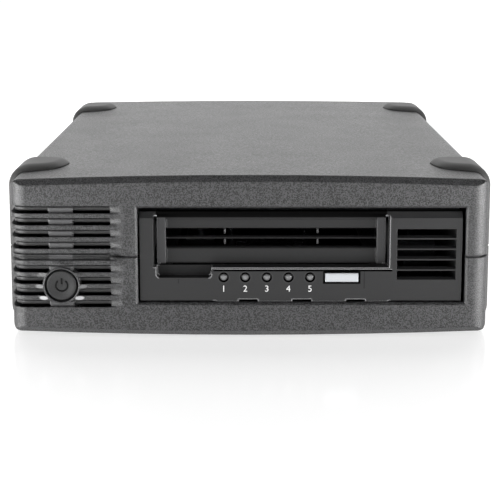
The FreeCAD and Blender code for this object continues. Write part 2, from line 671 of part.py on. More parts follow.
def cavity():
    """Hollow of the case, one wall inside its outer faces."""
    inner_radius = max(EDGE_RADIUS - WALL, MIN_RADIUS)
    inner_corner = max(CORNER_RADIUS - WALL, MIN_RADIUS)
    sections = [
        section_wire(INNER_FRONT, INNER_HALF, INNER_LOW, INNER_HIGH, inner_radius, FRONT_CROWN),
        section_wire(PANEL_REAR, INNER_HALF, INNER_LOW, INNER_HIGH, inner_radius, REAR_CROWN),
    ]
    loft = Part.makeLoft(sections, True, True)
    return loft.common(plan_block(INNER_HALF, INNER_FRONT, PANEL_REAR + CORNER_RADIUS, inner_corner))


def rear_window():
    x = INNER_HALF - RIM_WIDTH
    return box(-x, x, PANEL_REAR - PAST, REAR + PAST, INNER_LOW + RIM_WIDTH, INNER_HIGH - RIM_WIDTH)


def drive_opening():
    """Hole for the drive's bezel, with a chamfered mouth."""
    x0 = OPENING_LEFT
    x1 = OPENING_RIGHT
    z0 = OPENING_LOW
    z1 = OPENING_HIGH
    hole = box(x0, x1, FRONT - PAST, INNER_FRONT + PAST, z0, z1)
    wide = 2 * OPENING_CHAMFER
    mouth = []
    for y, grow in ((FRONT - OPENING_CHAMFER, wide), (FRONT + OPENING_CHAMFER, 0.0)):
        left, right, low, high = x0 - grow, x1 + grow, z0 - grow, z1 + grow
        points = [vector(x, y, z) for x, z in ((left, low), (right, low), (right, high), (left, high))]
        mouth.append(Part.makePolygon(points + points[:1]))
    return hole.fuse(Part.makeLoft(mouth, True, True))


def louvre_profile(low):
    """Section of an open louvre as (depth, height): undercut, blade, slot through the wall, rib."""
    high = low + LOUVRE_HEIGHT
    through = WALL + PAST
    return [
        (LOUVRE_AHEAD, high),
        (LOUVRE_LINE_DEPTH, high),
        (LOUVRE_LINE_DEPTH, high - LOUVRE_LINE),
        (LOUVRE_SETBACK, high - LOUVRE_LINE),
        (LOUVRE_SETBACK + LOUVRE_TILT, low + LOUVRE_SLOT),
        (through, low + LOUVRE_SLOT),
        (through, low - LOUVRE_FALL),
        (0.0, low),
        (LOUVRE_AHEAD, low),
    ]


def closed_profile(low, groove):
    """Section of a closed louvre: a panel set back a little, with a groove along its upper and lower edge."""
    high = low + LOUVRE_HEIGHT
    return [
        (LOUVRE_AHEAD, high),
        (LOUVRE_LINE_DEPTH, high),
        (LOUVRE_LINE_DEPTH, high - LOUVRE_LINE),
        (BRIDGE_SETBACK, high - LOUVRE_LINE),
        (BRIDGE_SETBACK, low + groove),
        (LOUVRE_LINE_DEPTH, low + groove),
        (LOUVRE_LINE_DEPTH, low),
        (LOUVRE_AHEAD, low),
    ]


def front_louvre(profile, x0, x1):
    return prism_x([(FRONT + depth, z) for depth, z in profile], x0, x1)


def louvre_cutters(low, profile):
    """One louvre: along the front on both sides of the bridge, round the left corner and along the side."""
    axis_x = -HALF + CORNER_RADIUS
    axis_y = FRONT + CORNER_RADIUS
    bridge_left = POWER_X - BRIDGE_WIDTH / 2
    bridge_right = POWER_X + BRIDGE_WIDTH / 2
    turned = [vector(axis_x, FRONT + depth, z) for depth, z in profile]
    corner = polygon(turned).revolve(vector(axis_x, axis_y, 0), vector(0, 0, 1), -90)
    ramp = [
        (LOUVRE_RIGHT - PAST, FRONT - PAST),
        (LOUVRE_RIGHT + LOUVRE_RUNOUT, FRONT - PAST),
        (LOUVRE_RIGHT + LOUVRE_RUNOUT, FRONT),
        (LOUVRE_RIGHT, FRONT + LOUVRE_RAMP_DEPTH),
        (LOUVRE_RIGHT - PAST, FRONT + LOUVRE_RAMP_DEPTH),
    ]
    return [
        front_louvre(profile, axis_x, bridge_left),
        front_louvre(profile, bridge_right, LOUVRE_RIGHT),
        front_louvre(closed_profile(low, BRIDGE_LINE), bridge_left - PAST, bridge_right + PAST),
        corner,
        prism_y([(-HALF + depth, z) for depth, z in profile], axis_y, axis_y + LOUVRE_SIDE_RUN),
        prism_z(ramp, low, low + LOUVRE_HEIGHT),
    ]


def louvre_bases():
    middle = MID - LOUVRE_HEIGHT / 2
    first = -(LOUVRE_COUNT - 1) / 2
    return [middle + (first + index) * LOUVRE_PITCH for index in range(LOUVRE_COUNT)]


def seam_groove():
    """Shadow line round the case, which stops where the middle louvre takes its place."""
    ring = plan_block(HALF + PAST, FRONT - PAST, REAR + PAST, CORNER_RADIUS)
    core = plan_block(HALF - SEAM_DEPTH, FRONT + SEAM_DEPTH, REAR - SEAM_DEPTH, CORNER_RADIUS - SEAM_DEPTH)
    half_seam = SEAM_HEIGHT / 2
    band = box(-HALF - 2 * PAST, HALF + 2 * PAST, FRONT - 2 * PAST, REAR + 2 * PAST,
               MID - half_seam, MID + half_seam)
    side_end = FRONT + CORNER_RADIUS + LOUVRE_SIDE_RUN
    louvred = box(-HALF - 2 * PAST, LOUVRE_RIGHT, FRONT - 2 * PAST, side_end, LOW, HIGH)
    return ring.cut(core).common(band).cut(louvred)


def power_mound():
    """Conical mound that the louvres run into."""
    return Part.makeCone(BOSS_FOOT_RADIUS, BOSS_RADIUS, BOSS_RISE,
                         vector(POWER_X, FRONT, POWER_Z), vector(0, -1, 0))


def power_ring():
    return rod_y(POWER_X, POWER_Z, BOSS_RADIUS, FRONT - BOSS_RISE, INNER_FRONT)


def housing():
    """Both shells in one: hollow case with its openings, louvres and seam."""
    shell = OUTER.fuse(power_mound())
    shell = shell.cut([cavity(), rear_window(), drive_opening()])
    cutters = []
    for low in louvre_bases():
        on_seam = low < MID < low + LOUVRE_HEIGHT
        profile = closed_profile(low, SEAM_LOUVRE_LINE) if on_seam else louvre_profile(low)
        cutters += louvre_cutters(low, profile)
    shell = shell.cut(cutters).fuse(power_ring())
    hole_radius = POWER_RADIUS + POWER_GAP
    power_hole = rod_y(POWER_X, POWER_Z, hole_radius, FRONT - BOSS_RISE - PAST, INNER_FRONT + PAST)
    return shell.cut([power_hole, seam_groove()])


def case_boss_places():
    return [(x, y) for x in (-CASE_BOSS_X, CASE_BOSS_X) for y in (CASE_BOSS_FRONT, CASE_BOSS_REAR)]


def rear_screw_places():
    x = INNER_HALF - RIM_WIDTH / 2
    z_gap = BODY_HEIGHT / 4
    return [(side * x, MID + step * z_gap) for side in (-1, 1) for step in (-1, 1)]


def rear_screw_holes():
    """Countersunk seats in the rear rim."""
    seat = REAR - SCREW_HEAD
    holes = []
    for x, z in rear_screw_places():
        holes.append(rod_y(x, z, SCREW_RADIUS + SCREW_CLEARANCE, PANEL_REAR - PAST, REAR + PAST))
        holes.append(rod_y(x, z, SCREW_HEAD_RADIUS + SCREW_CLEARANCE, seat, REAR + PAST))
    return holes


def upper_shell():
    above = box(-BODY_WIDTH, BODY_WIDTH, -BODY_DEPTH, BODY_DEPTH, MID, 2 * TOP)
    shell = HOUSING.common(above)
    tubes = [rod_z(x, y, BOSS_TUBE_RADIUS, MID, TOP).common(OUTER) for x, y in case_boss_places()]
    depth = CASE_SCREW_SINK + CASE_SCREW_LENGTH + LOW
    pilots = [rod_z(x, y, SCREW_RADIUS + SCREW_CLEARANCE, MID - PAST, depth + PAST)
              for x, y in case_boss_places()]
    return shell.fuse(tubes).cut(pilots + rear_screw_holes())


def drive_screw_places():
    side = CHASSIS_WIDTH / 2 - DRIVE_SCREW_INSET
    return [(DRIVE_X + sx * side, BEZEL_BACK + share * CHASSIS_DEPTH)
            for sx in (-1, 1) for share in DRIVE_SCREW_SHARES]


def supply_screw_places():
    inset = SUPPLY_SCREW_INSET
    return [(x, y) for x in (SUPPLY_LEFT + inset, SUPPLY_RIGHT - inset)
            for y in (SUPPLY_FRONT + inset, SUPPLY_REAR - inset)]


def drive_rails():
    """Two ribs on the floor of the case that carry the drive."""
    half = DRIVE_RAIL_WIDTH / 2
    ribs = []
    for side in (-1, 1):
        x = DRIVE_X + side * (CHASSIS_WIDTH / 2 - DRIVE_SCREW_INSET)
        ribs.append(box(x - half, x + half, BEZEL_BACK + DRIVE_RAIL_INSET, CHASSIS_REAR - DRIVE_RAIL_INSET,
                        0, BEZEL_LOW))
    return ribs


def drive_screw_seat():
    return BEZEL_LOW - DRIVE_SCREW_DEPTH


def switch_shelf():
    half = SWITCH_SIZE / 2
    front = switch_front()
    return box(POWER_X - half, POWER_X + half, front, front + SWITCH_DEPTH, 0, POWER_Z - half)


def lower_shell():
    below = box(-BODY_WIDTH, BODY_WIDTH, -BODY_DEPTH, BODY_DEPTH, -TOP, MID)
    shell = HOUSING.common(below)
    added = [rod_z(x, y, BOSS_TUBE_RADIUS, 0, MID) for x, y in case_boss_places()]
    added += drive_rails()
    added += [rod_z(x, y, BOSS_TUBE_RADIUS, 0, SUPPLY_Z) for x, y in supply_screw_places()]
    added.append(switch_shelf())
    shell = shell.fuse([piece.common(OUTER) for piece in added])
    holes = rear_screw_holes()
    for x, y in case_boss_places():
        holes.append(rod_z(x, y, SCREW_HEAD_RADIUS + SCREW_CLEARANCE, -PAST, LOW + CASE_SCREW_SINK))
        holes.append(rod_z(x, y, SCREW_RADIUS + SCREW_CLEARANCE, 0, MID + PAST))
    for x, y in drive_screw_places():
        holes.append(rod_z(x, y, SCREW_HEAD_RADIUS + SCREW_CLEARANCE, -PAST, drive_screw_seat()))
        holes.append(rod_z(x, y, SCREW_RADIUS + SCREW_CLEARANCE, 0, BEZEL_LOW + PAST))
    for x, y in supply_screw_places():
        holes.append(rod_z(x, y, SCREW_RADIUS + SCREW_CLEARANCE, INNER_LOW + SUPPLY_SCREW_REST - PAST,
                           SUPPLY_Z + PAST))
    return shell.cut(holes)


def bumper_plan(middle):
    """Leaf-shaped block: straight across the side wall, swept back over the top to a rounded tip."""
    half_length = BUMPER_LENGTH / 2
    outside = HALF + BUMPER_SIDE + PAST
    places = [vector(HALF - inward * BUMPER_REACH, middle + along * half_length, MID)
              for inward, along in BUMPER_LEAF]
    sweep = Part.BSplineCurve()
    sweep.interpolate(Points=places, InitialTangent=vector(-1, 0, 0), FinalTangent=vector(1, 0, 0))
    front = vector(outside, middle - half_length, MID)
    rear = vector(outside, middle + half_length, MID)
    outline = Part.Wire([line(front, places[0]), sweep.toShape(), line(places[-1], rear), line(rear, front)])
    return Part.Face(outline).extrude(vector(0, 0, TOP + PAST - MID))


def bumper_skin():
    """Bar along the depth with the bumpers' outer faces."""
    side = HALF + BUMPER_SIDE
    bar = box(0, side, -BODY_DEPTH, BODY_DEPTH, BUMPER_LOW, TOP)
    along_depth = [edge for edge in bar.Edges if edge.BoundBox.XMin > side - TOUCH]
    top_edge = [edge for edge in along_depth if edge.BoundBox.ZMin > TOP - TOUCH]
    return bar.makeFillet(BUMPER_ROUND, top_edge)


def on_bumper_outline(edge):
    """Whether an edge of the uncut bumper runs along its outline."""
    bound = edge.BoundBox
    foot = bound.ZMax < BUMPER_LOW + TOUCH
    between_faces = bound.XLength < TOUCH and bound.ZLength < TOUCH
    against_case = bound.XMax < HALF + TOUCH and bound.XLength < TOUCH and bound.YLength < TOUCH
    return not (foot or between_faces or against_case)


def bumper(side, middle, upper):
    """Corner bumper: a domed leaf over the top and the side, or under the bottom for the feet."""
    block = bumper_plan(middle).common(bumper_skin())
    block = block.makeFillet(BUMPER_EDGE, [edge for edge in block.Edges if on_bumper_outline(edge)])
    if not upper:
        block = block.mirror(vector(0, 0, MID), vector(0, 0, 1))
    if side < 0:
        block = block.mirror(vector(0, 0, 0), vector(1, 0, 0))
    return block.cut(OUTER)


def button_flange_front():
    return INNER_FRONT + CARTRIDGE_PLAY


def switch_front():
    return button_flange_front() + SPRING_ROOM


def power_button():
    """Round button with a dished face, a retaining flange and the stem that works the switch."""
    face = FRONT - BOSS_RISE + BUTTON_SETBACK
    dish_radius = POWER_RADIUS - BUTTON_RIM
    flange = button_flange_front()
    lip = POWER_RADIUS + POWER_GAP + BUTTON_LIP
    stem_end = switch_front() + STEM_SINK
    profile = [
        vector(0, face + POWER_DISH, 0),
        vector(dish_radius * DISH_STEP[0], face + POWER_DISH * DISH_STEP[1], 0),
        vector(dish_radius, face, 0),
        vector(POWER_RADIUS - BUTTON_EDGE, face, 0),
        vector(POWER_RADIUS, face + BUTTON_EDGE, 0),
        vector(POWER_RADIUS, flange, 0),
        vector(lip, flange, 0),
        vector(lip, flange + BUTTON_FLANGE, 0),
        vector(STEM_RADIUS, flange + BUTTON_FLANGE, 0),
        vector(STEM_RADIUS, stem_end, 0),
        vector(0, stem_end, 0),
    ]
    turned = polygon(profile).revolve(vector(0, 0, 0), vector(0, 1, 0), 360)
    turned.translate(vector(POWER_X, 0, POWER_Z))
    return turned


def power_switch():
    half = SWITCH_SIZE / 2
    front = switch_front()
    body = rounded_box(POWER_X - half, POWER_X + half, front, front + SWITCH_DEPTH,
                       POWER_Z - half, POWER_Z + half, SWITCH_CORNER, vector(0, 1, 0))
    bore = rod_y(POWER_X, POWER_Z, STEM_RADIUS + STEM_CLEARANCE, front - PAST,
                 front + POWER_TRAVEL + SWITCH_REST)
    wide = SWITCH_BLADE_WIDTH / 2
    thin = SWITCH_BLADE_SHEET / 2
    back = front + SWITCH_DEPTH
    blades = [box(x - wide, x + wide, back, back + SWITCH_BLADE, POWER_Z - thin, POWER_Z + thin)
              for x in switch_blade_places()]
    return body.cut(bore).fuse(blades)


def switch_blade_places():
    return [POWER_X, POWER_X + SWITCH_BLADE_STEP]


def louvre_slot(x0, x1, low, high, rise, front, back):
    """Slot through a plate whose lower face rises towards the back."""
    slope = rise / (back - front)
    points = [
        (front - PAST, low - slope * PAST),
        (back + PAST, low + rise + slope * PAST),
        (back + PAST, high),
        (front - PAST, high),
    ]
    return prism_x(points, x0, x1)


def light_places():
    return [MOUTH_LEFT + LIGHT_START + index * LIGHT_PITCH for index in range(LIGHT_COUNT)]


def eject_x():
    return MOUTH_LEFT + EJECT_START


def notch_cutter():
    """Finger notch below the left end of the mouth, with slanted lower corners."""
    x0 = DOOR_LEFT
    x1 = DOOR_LEFT + NOTCH_WIDTH
    low = MOUTH_LOW - NOTCH_HEIGHT
    points = [
        (x0, MOUTH_LOW + PAST),
        (x0, low + NOTCH_CORNER),
        (x0 + NOTCH_CORNER, low),
        (x1 - NOTCH_CORNER, low),
        (x1, low + NOTCH_CORNER),
        (x1, MOUTH_LOW + PAST),
    ]
    return prism_y(points, BEZEL_FRONT - PAST, BEZEL_FRONT + NOTCH_DEPTH)


def bezel_pockets():
    """Hollows in the bezel's back, which leave the front plate and the rims."""
    right = BEZEL_RIGHT - BEZEL_RIM
    left = BEZEL_LEFT + BEZEL_RIM
    low = BEZEL_LOW + BEZEL_RIM
    notch_right = DOOR_LEFT + NOTCH_WIDTH + BEZEL_RIM
    block_left = MOUTH_RIGHT + BEZEL_RIM
    back = BEZEL_BACK + PAST
    under_mouth = MOUTH_LOW - LIP_HEIGHT - LIP_GROOVE - BEZEL_RIM / 4
    return [
        box(block_left, right, BEZEL_INNER, back, low, BEZEL_HIGH - BEZEL_CHAMFER_DROP - BEZEL_RIM),
        box(notch_right, block_left + PAST, BEZEL_INNER, back, low, under_mouth),
        box(left, notch_right + PAST, BEZEL_INNER, back, low, MOUTH_LOW - NOTCH_HEIGHT - BEZEL_RIM),
    ]


def eject_hole():
    half_width = EJECT_WIDTH / 2 + EJECT_GAP
    half_height = EJECT_HEIGHT / 2 + EJECT_GAP
    x = eject_x()
    return rounded_box(x - half_width, x + half_width, BEZEL_FRONT - PAST, BEZEL_BACK,
                       CONTROL_Z - half_height, CONTROL_Z + half_height, EJECT_CORNER, vector(0, 1, 0))


def board_post_places():
    z = BEZEL_LOW + FRONT_POST_RISE
    return [(light_places()[0] - FRONT_POST_OFFSET, z), (eject_x() + FRONT_POST_OFFSET, z)]


def front_board_y():
    return BEZEL_BACK + FRONT_BOARD_GAP


def drive_bezel():
    """Front of the drive: mouth, finger notch, lip, light and button holes, grille and sill lip."""
    body = box(BEZEL_LEFT, BEZEL_RIGHT, BEZEL_FRONT, BEZEL_BACK, BEZEL_LOW, BEZEL_HIGH)
    sill_end = MOUTH_RIGHT - SILL_END
    sill_start = DOOR_LEFT + NOTCH_WIDTH + SILL_START
    sill = box(sill_start, sill_end, BEZEL_FRONT, BEZEL_INNER, BEZEL_LOW - SILL_LIP, BEZEL_LOW)
    body = body.fuse(sill)
    chamfer = prism_x([
        (BEZEL_FRONT - PAST, BEZEL_HIGH - BEZEL_CHAMFER_DROP),
        (BEZEL_FRONT, BEZEL_HIGH - BEZEL_CHAMFER_DROP),
        (BEZEL_FRONT + BEZEL_CHAMFER_RUN, BEZEL_HIGH),
        (BEZEL_FRONT + BEZEL_CHAMFER_RUN, BEZEL_HIGH + PAST),
        (BEZEL_FRONT - PAST, BEZEL_HIGH + PAST),
    ], BEZEL_LEFT - PAST, BEZEL_RIGHT + PAST)
    mouth = box(MOUTH_LEFT, MOUTH_RIGHT, BEZEL_FRONT - PAST, BEZEL_BACK + PAST, MOUTH_LOW, MOUTH_HIGH)
    groove_top = MOUTH_LOW - LIP_HEIGHT
    groove = box(DOOR_LEFT + NOTCH_WIDTH + LIP_GROOVE_START, MOUTH_RIGHT + DOOR_GAP, BEZEL_FRONT - PAST,
                 BEZEL_FRONT + LIP_GROOVE_DEPTH, groove_top - LIP_GROOVE, groove_top)
    cutters = [chamfer, mouth, notch_cutter(), groove, eject_hole()] + bezel_pockets()
    for x in light_places():
        cutters.append(rod_y(x, CONTROL_Z, LIGHT_HOLE_RADIUS, BEZEL_FRONT - PAST, BEZEL_INNER + PAST))
    sill_middle = (sill_start + sill_end) / 2
    for index in range(SILL_NOTCH_COUNT):
        x = sill_middle + (index - (SILL_NOTCH_COUNT - 1) / 2) * SILL_NOTCH_PITCH
        half = SILL_NOTCH_WIDTH / 2
        cutters.append(box(x - half, x + half, BEZEL_FRONT - PAST, BEZEL_INNER + PAST,
                           BEZEL_LOW - SILL_LIP - PAST, BEZEL_LOW + SILL_LIP))
    grille_left = MOUTH_RIGHT + GRILLE_MARGIN_LEFT
    grille_right = BEZEL_RIGHT - GRILLE_MARGIN_RIGHT
    for index in range(GRILLE_COUNT):
        high = BEZEL_HIGH - GRILLE_TOP_DROP - index * GRILLE_PITCH
        cutters.append(louvre_slot(grille_left, grille_right, high - GRILLE_SLOT, high, GRILLE_RISE,
                                   BEZEL_FRONT, BEZEL_INNER))
    body = body.cut(cutters)
    added = [rod_y(x, z, FRONT_POST_RADIUS, BEZEL_INNER, front_board_y()) for x, z in board_post_places()]
    lug = KNUCKLE_RADIUS + LUG_WALL
    for x in (MOUTH_LEFT - LUG_WIDTH, MOUTH_RIGHT):
        added.append(box(x, x + LUG_WIDTH, BEZEL_BACK, PIVOT_Y + lug, PIVOT_Z - lug, PIVOT_Z + lug))
    body = body.fuse(added)
    pin_end = 2 * LUG_WIDTH
    return body.cut(rod_x(PIVOT_Y, PIVOT_Z, PIN_RADIUS, MOUTH_LEFT - pin_end, MOUTH_RIGHT + pin_end))


def cartridge_door():
    """Flap with raised end strips, a sunken louvred panel and a knuckle along its upper edge."""
    top = PIVOT_Z - KNUCKLE_RADIUS / 2
    panel = box(DOOR_LEFT, DOOR_RIGHT, DOOR_FRONT, DOOR_BACK, DOOR_LOW, top)
    knuckle = rod_x(PIVOT_Y, PIVOT_Z, KNUCKLE_RADIUS, DOOR_LEFT, DOOR_RIGHT)
    left = DOOR_LEFT + DOOR_STRIP
    right = DOOR_RIGHT - DOOR_STRIP
    face = DOOR_FRONT + DOOR_RECESS
    cutters = [box(left, right, DOOR_FRONT - PAST, face, DOOR_LOW - PAST, top - DOOR_HEAD)]
    webs = []
    for index in range(DOOR_SLOT_COUNT):
        low = DOOR_LOW + DOOR_SLOT_START + index * DOOR_SLOT_PITCH
        cutters.append(louvre_slot(left, right, low, low + DOOR_SLOT, DOOR_SLOT_RISE, face, DOOR_BACK))
        for step in (-0.5, 0.5):
            x = BAY_X + step * DOOR_WEB_SPACING
            webs.append(box(x - DOOR_WEB / 2, x + DOOR_WEB / 2, face + DOOR_WEB_SETBACK, DOOR_BACK,
                            low + (1 - DOOR_WEB_SHARE) * DOOR_SLOT, low + DOOR_SLOT))
    body = panel.fuse(knuckle).cut(cutters).fuse(webs)
    bore_radius = PIN_RADIUS + RUNNING_CLEARANCE
    return body.cut(rod_x(PIVOT_Y, PIVOT_Z, bore_radius, DOOR_LEFT - PAST, DOOR_RIGHT + PAST))


def door_hinge_pin():
    return rod_x(PIVOT_Y, PIVOT_Z, PIN_RADIUS, MOUTH_LEFT - LUG_WIDTH, MOUTH_RIGHT + LUG_WIDTH)


def eject_button():
    """Bar button with rounded edges and a retaining flange behind the bezel's plate."""
    x = eject_x()
    half_width = EJECT_WIDTH / 2
    half_height = EJECT_HEIGHT / 2
    flange = BEZEL_INNER + CARTRIDGE_PLAY
    bar = box(x - half_width, x + half_width, BEZEL_FRONT - EJECT_PROUD, flange,
              CONTROL_Z - half_height, CONTROL_Z + half_height)
    rim = [edge for edge in bar.Edges if edge.BoundBox.YMax < BEZEL_FRONT - EJECT_PROUD + TOUCH]
    bar = bar.makeChamfer(EJECT_EDGE, rim)
    grow = EJECT_GAP + EJECT_LIP
    flange_back = flange + EJECT_FLANGE
    plate = box(x - half_width - grow, x + half_width + grow, flange, flange_back,
                CONTROL_Z - half_height, CONTROL_Z + half_height)
    stem_end = eject_switch_front() - EJECT_TRAVEL - CARTRIDGE_PLAY
    stem = rod_y(x, CONTROL_Z, EJECT_STEM_RADIUS, flange_back, stem_end)
    return bar.fuse([plate, stem])


def eject_switch_front():
    return front_board_y() - TACT_DEPTH


def status_light_pipe():
    """Comb of five light rods on one bar behind the bezel's plate."""
    places = light_places()
    margin = LIGHT_BAR_MARGIN
    rods = [rod_y(x, CONTROL_Z, LIGHT_RADIUS, BEZEL_FRONT + LIGHT_SETBACK, BEZEL_INNER) for x in places]
    bar = box(places[0] - margin, places[-1] + margin, BEZEL_INNER, BEZEL_INNER + LIGHT_BAR,
              CONTROL_Z - margin, CONTROL_Z + margin)
    return bar.fuse(rods)


def front_board():
    """Board behind the controls: light-emitting chips and the eject switch."""
    y = front_board_y()
    places = board_post_places()
    margin = FRONT_BOARD_MARGIN
    board = box(places[0][0] - margin, places[1][0] + margin, y, y + BOARD,
                BEZEL_LOW + BEZEL_RIM, CONTROL_Z + FRONT_BOARD_TOP)
    wide = LED_WIDTH / 2
    tall = LED_HEIGHT / 2
    chips = [box(x - wide, x + wide, y - LED_DEPTH, y, CONTROL_Z - tall, CONTROL_Z + tall)
             for x in light_places()]
    x = eject_x()
    wide = TACT_WIDTH / 2
    tall = TACT_HEIGHT / 2
    switch = box(x - wide, x + wide, eject_switch_front(), y, CONTROL_Z - tall, CONTROL_Z + tall)
    return board.fuse(chips + [switch])


def main_board_posts():
    x0 = CHASSIS_LEFT + CHASSIS_WALL + MAIN_POST_INSET
    x1 = CHASSIS_RIGHT - CHASSIS_WALL - MAIN_POST_INSET
    return [(x, y) for x in (x0, x1) for y in (BAY_REAR + MAIN_POST_FRONT, CHASSIS_REAR - MAIN_POST_REAR)]


def drive_chassis():
    """Sheet tray with side and rear walls, board posts and threaded holes for the mounting screws."""
    floor = box(CHASSIS_LEFT, CHASSIS_RIGHT, BEZEL_BACK, CHASSIS_REAR, BEZEL_LOW, FLOOR)
    walls = [
        box(CHASSIS_LEFT, CHASSIS_LEFT + CHASSIS_WALL, BEZEL_BACK, CHASSIS_REAR, FLOOR, CHASSIS_TOP),
        box(CHASSIS_RIGHT - CHASSIS_WALL, CHASSIS_RIGHT, BEZEL_BACK, CHASSIS_REAR, FLOOR, CHASSIS_TOP),
        box(CHASSIS_LEFT, CHASSIS_RIGHT, CHASSIS_REAR - CHASSIS_WALL, CHASSIS_REAR, FLOOR, CHASSIS_TOP),
    ]
    posts = [rod_z(x, y, MAIN_POST_RADIUS, FLOOR, MAIN_BOARD_Z) for x, y in main_board_posts()]
    holes = [rod_z(x, y, SCREW_RADIUS + SCREW_CLEARANCE, BEZEL_LOW - PAST, FLOOR + PAST)
             for x, y in drive_screw_places()]
    x0, x1, z0, z1 = connector_window()
    holes.append(box(x0, x1, CHASSIS_REAR - 2 * CHASSIS_WALL, CHASSIS_REAR + PAST, z0, z1))
    x0, x1, z0, z1 = power_window()
    holes.append(box(x0, x1, CHASSIS_REAR - 2 * CHASSIS_WALL, CHASSIS_REAR + PAST, z0, z1))
    return floor.fuse(walls + posts).cut(holes)


def connector_window():
    x = CHASSIS_RIGHT - DATA_CONNECTOR_INSET
    half = DATA_CONNECTOR_WIDTH / 2
    return x - half, x + half, MAIN_BOARD_Z - CONNECTOR_HEIGHT, MAIN_BOARD_Z


def power_window():
    x = CHASSIS_LEFT + POWER_CONNECTOR_INSET
    half = POWER_CONNECTOR_WIDTH / 2
    return x - half, x + half, MAIN_BOARD_Z - CONNECTOR_HEIGHT, MAIN_BOARD_Z


def drive_connectors():
    """Data and power receptacles under the rear edge of the main board."""
    blocks = []
    for x0, x1, z0, z1 in (connector_window(), power_window()):
        blocks.append(box(x0, x1, CHASSIS_REAR - CONNECTOR_DEPTH, CHASSIS_REAR + CONNECTOR_PROUD, z0, z1))
    return Part.makeCompound(blocks)


def drive_top_cover():
    """Sheet cover with side flanges outside the chassis walls."""
    left = CHASSIS_LEFT - COVER_SHEET
    right = CHASSIS_RIGHT + COVER_SHEET
    sheet = box(left, right, BEZEL_BACK, CHASSIS_REAR, CHASSIS_TOP, BEZEL_HIGH)
    low = BEZEL_HIGH - COVER_FLANGE
    flanges = [
        box(left, CHASSIS_LEFT, BEZEL_BACK, CHASSIS_REAR, low, CHASSIS_TOP),
        box(CHASSIS_RIGHT, right, BEZEL_BACK, CHASSIS_REAR, low, CHASSIS_TOP),
    ]
    return sheet.fuse(flanges)


def lift_pins():
    pins = []
    for y in (LIFT_PIN_FRONT, LIFT_PIN_REAR):
        pins.append(rod_x(y, LIFT_PIN_Z, LIFT_PIN_RADIUS, SLIDER_LEFT, RAIL_LEFT))
        pins.append(rod_x(y, LIFT_PIN_Z, LIFT_PIN_RADIUS, RAIL_RIGHT, SLIDER_RIGHT))
    return pins


def guide_rod_places():
    return [(BAY_X + step * GUIDE_ROD_SPACING, GUIDE_ROD_Y) for step in (-0.5, 0.5)]


def cartridge_carriage():
    """U-shaped tray: two rails with ledges, a rear wall, lift pins and eyes for the guide rods."""
    rear = BAY_REAR + RAIL_WALL
    pieces = [
        box(RAIL_LEFT, BAY_LEFT, BAY_FRONT, rear, LEDGE_LOW, RAIL_HIGH),
        box(BAY_RIGHT, RAIL_RIGHT, BAY_FRONT, rear, LEDGE_LOW, RAIL_HIGH),
        box(BAY_LEFT, BAY_LEFT + RAIL_LEDGE, BAY_FRONT, rear, LEDGE_LOW, BAY_LOW),
        box(BAY_RIGHT - RAIL_LEDGE, BAY_RIGHT, BAY_FRONT, rear, LEDGE_LOW, BAY_LOW),
        box(BAY_LEFT, BAY_RIGHT, BAY_REAR, rear, LEDGE_LOW, RAIL_HIGH - RAIL_REAR_DROP),
    ]
    eye = GUIDE_ROD_RADIUS + ROD_EYE_WALL
    eye_low = LEDGE_LOW + ROD_EYE_RISE
    eye_high = eye_low + ROD_EYE_HEIGHT
    bores = []
    for x, y in guide_rod_places():
        pieces.append(box(x - eye, x + eye, rear, y, eye_low, eye_high))
        pieces.append(rod_z(x, y, eye, eye_low, eye_high))
        bores.append(rod_z(x, y, GUIDE_ROD_RADIUS + RUNNING_CLEARANCE, LEDGE_LOW, RAIL_HIGH))
    return pieces[0].fuse(pieces[1:] + lift_pins()).cut(bores)


def carriage_guide_rods():
    top = MAIN_BOARD_Z - GUIDE_ROD_DROP
    rods = [rod_z(x, y, GUIDE_ROD_RADIUS, FLOOR, top) for x, y in guide_rod_places()]
    return Part.makeCompound(rods)


def slanted_slot(y, x0, x1):
    """Slot that a lift pin follows as the slider moves back by its travel."""
    radius = LIFT_PIN_RADIUS + LIFT_SLOT_GAP
    length = math.hypot(SLIDER_TRAVEL, LIFT)
    along_y = -SLIDER_TRAVEL / length
    along_z = -LIFT / length
    end_y = y - SLIDER_TRAVEL
    end_z = LIFT_PIN_Z - LIFT
    points = [
        (y - along_z * radius, LIFT_PIN_Z + along_y * radius),
        (end_y - along_z * radius, end_z + along_y * radius),
        (end_y + along_z * radius, end_z - along_y * radius),
        (y + along_z * radius, LIFT_PIN_Z - along_y * radius),
    ]
    ends = [rod_x(y, LIFT_PIN_Z, radius, x0, x1), rod_x(end_y, end_z, radius, x0, x1)]
    return prism_x(points, x0, x1).fuse(ends)


def rack_bar():
    """Toothed bar on the slider, teeth down; a tooth gap stands over the pinion at rest."""
    pitch = math.pi * GEAR_MODULE
    slope = math.tan(math.radians(PRESSURE_ANGLE))
    root = RACK_Z + GEAR_DEDENDUM * GEAR_MODULE
    tip = RACK_Z - RACK_ADDENDUM
    half_tip = pitch / 4 - GEAR_BACKLASH / 2 - RACK_ADDENDUM * slope
    half_root = pitch / 4 - GEAR_BACKLASH / 2 + (root - RACK_Z) * slope
    first = math.ceil((SLIDER_TRAVEL + RACK_LEAD) / pitch)
    last = math.ceil(RACK_TAIL / pitch)
    points = [(PINION_Y - (first + 1) * pitch, root)]
    for index in range(-first, last + 1):
        y = PINION_Y + (index - 0.5) * pitch
        points += [(y - half_root, root), (y - half_tip, tip), (y + half_tip, tip), (y + half_root, root)]
    points += [(PINION_Y + (last + 0.5) * pitch, root), (PINION_Y + (last + 0.5) * pitch, root + RACK_BAR)]
    points.append((PINION_Y - (first + 1) * pitch, root + RACK_BAR))
    return prism_x(points, RACK_LEFT, RACK_RIGHT)


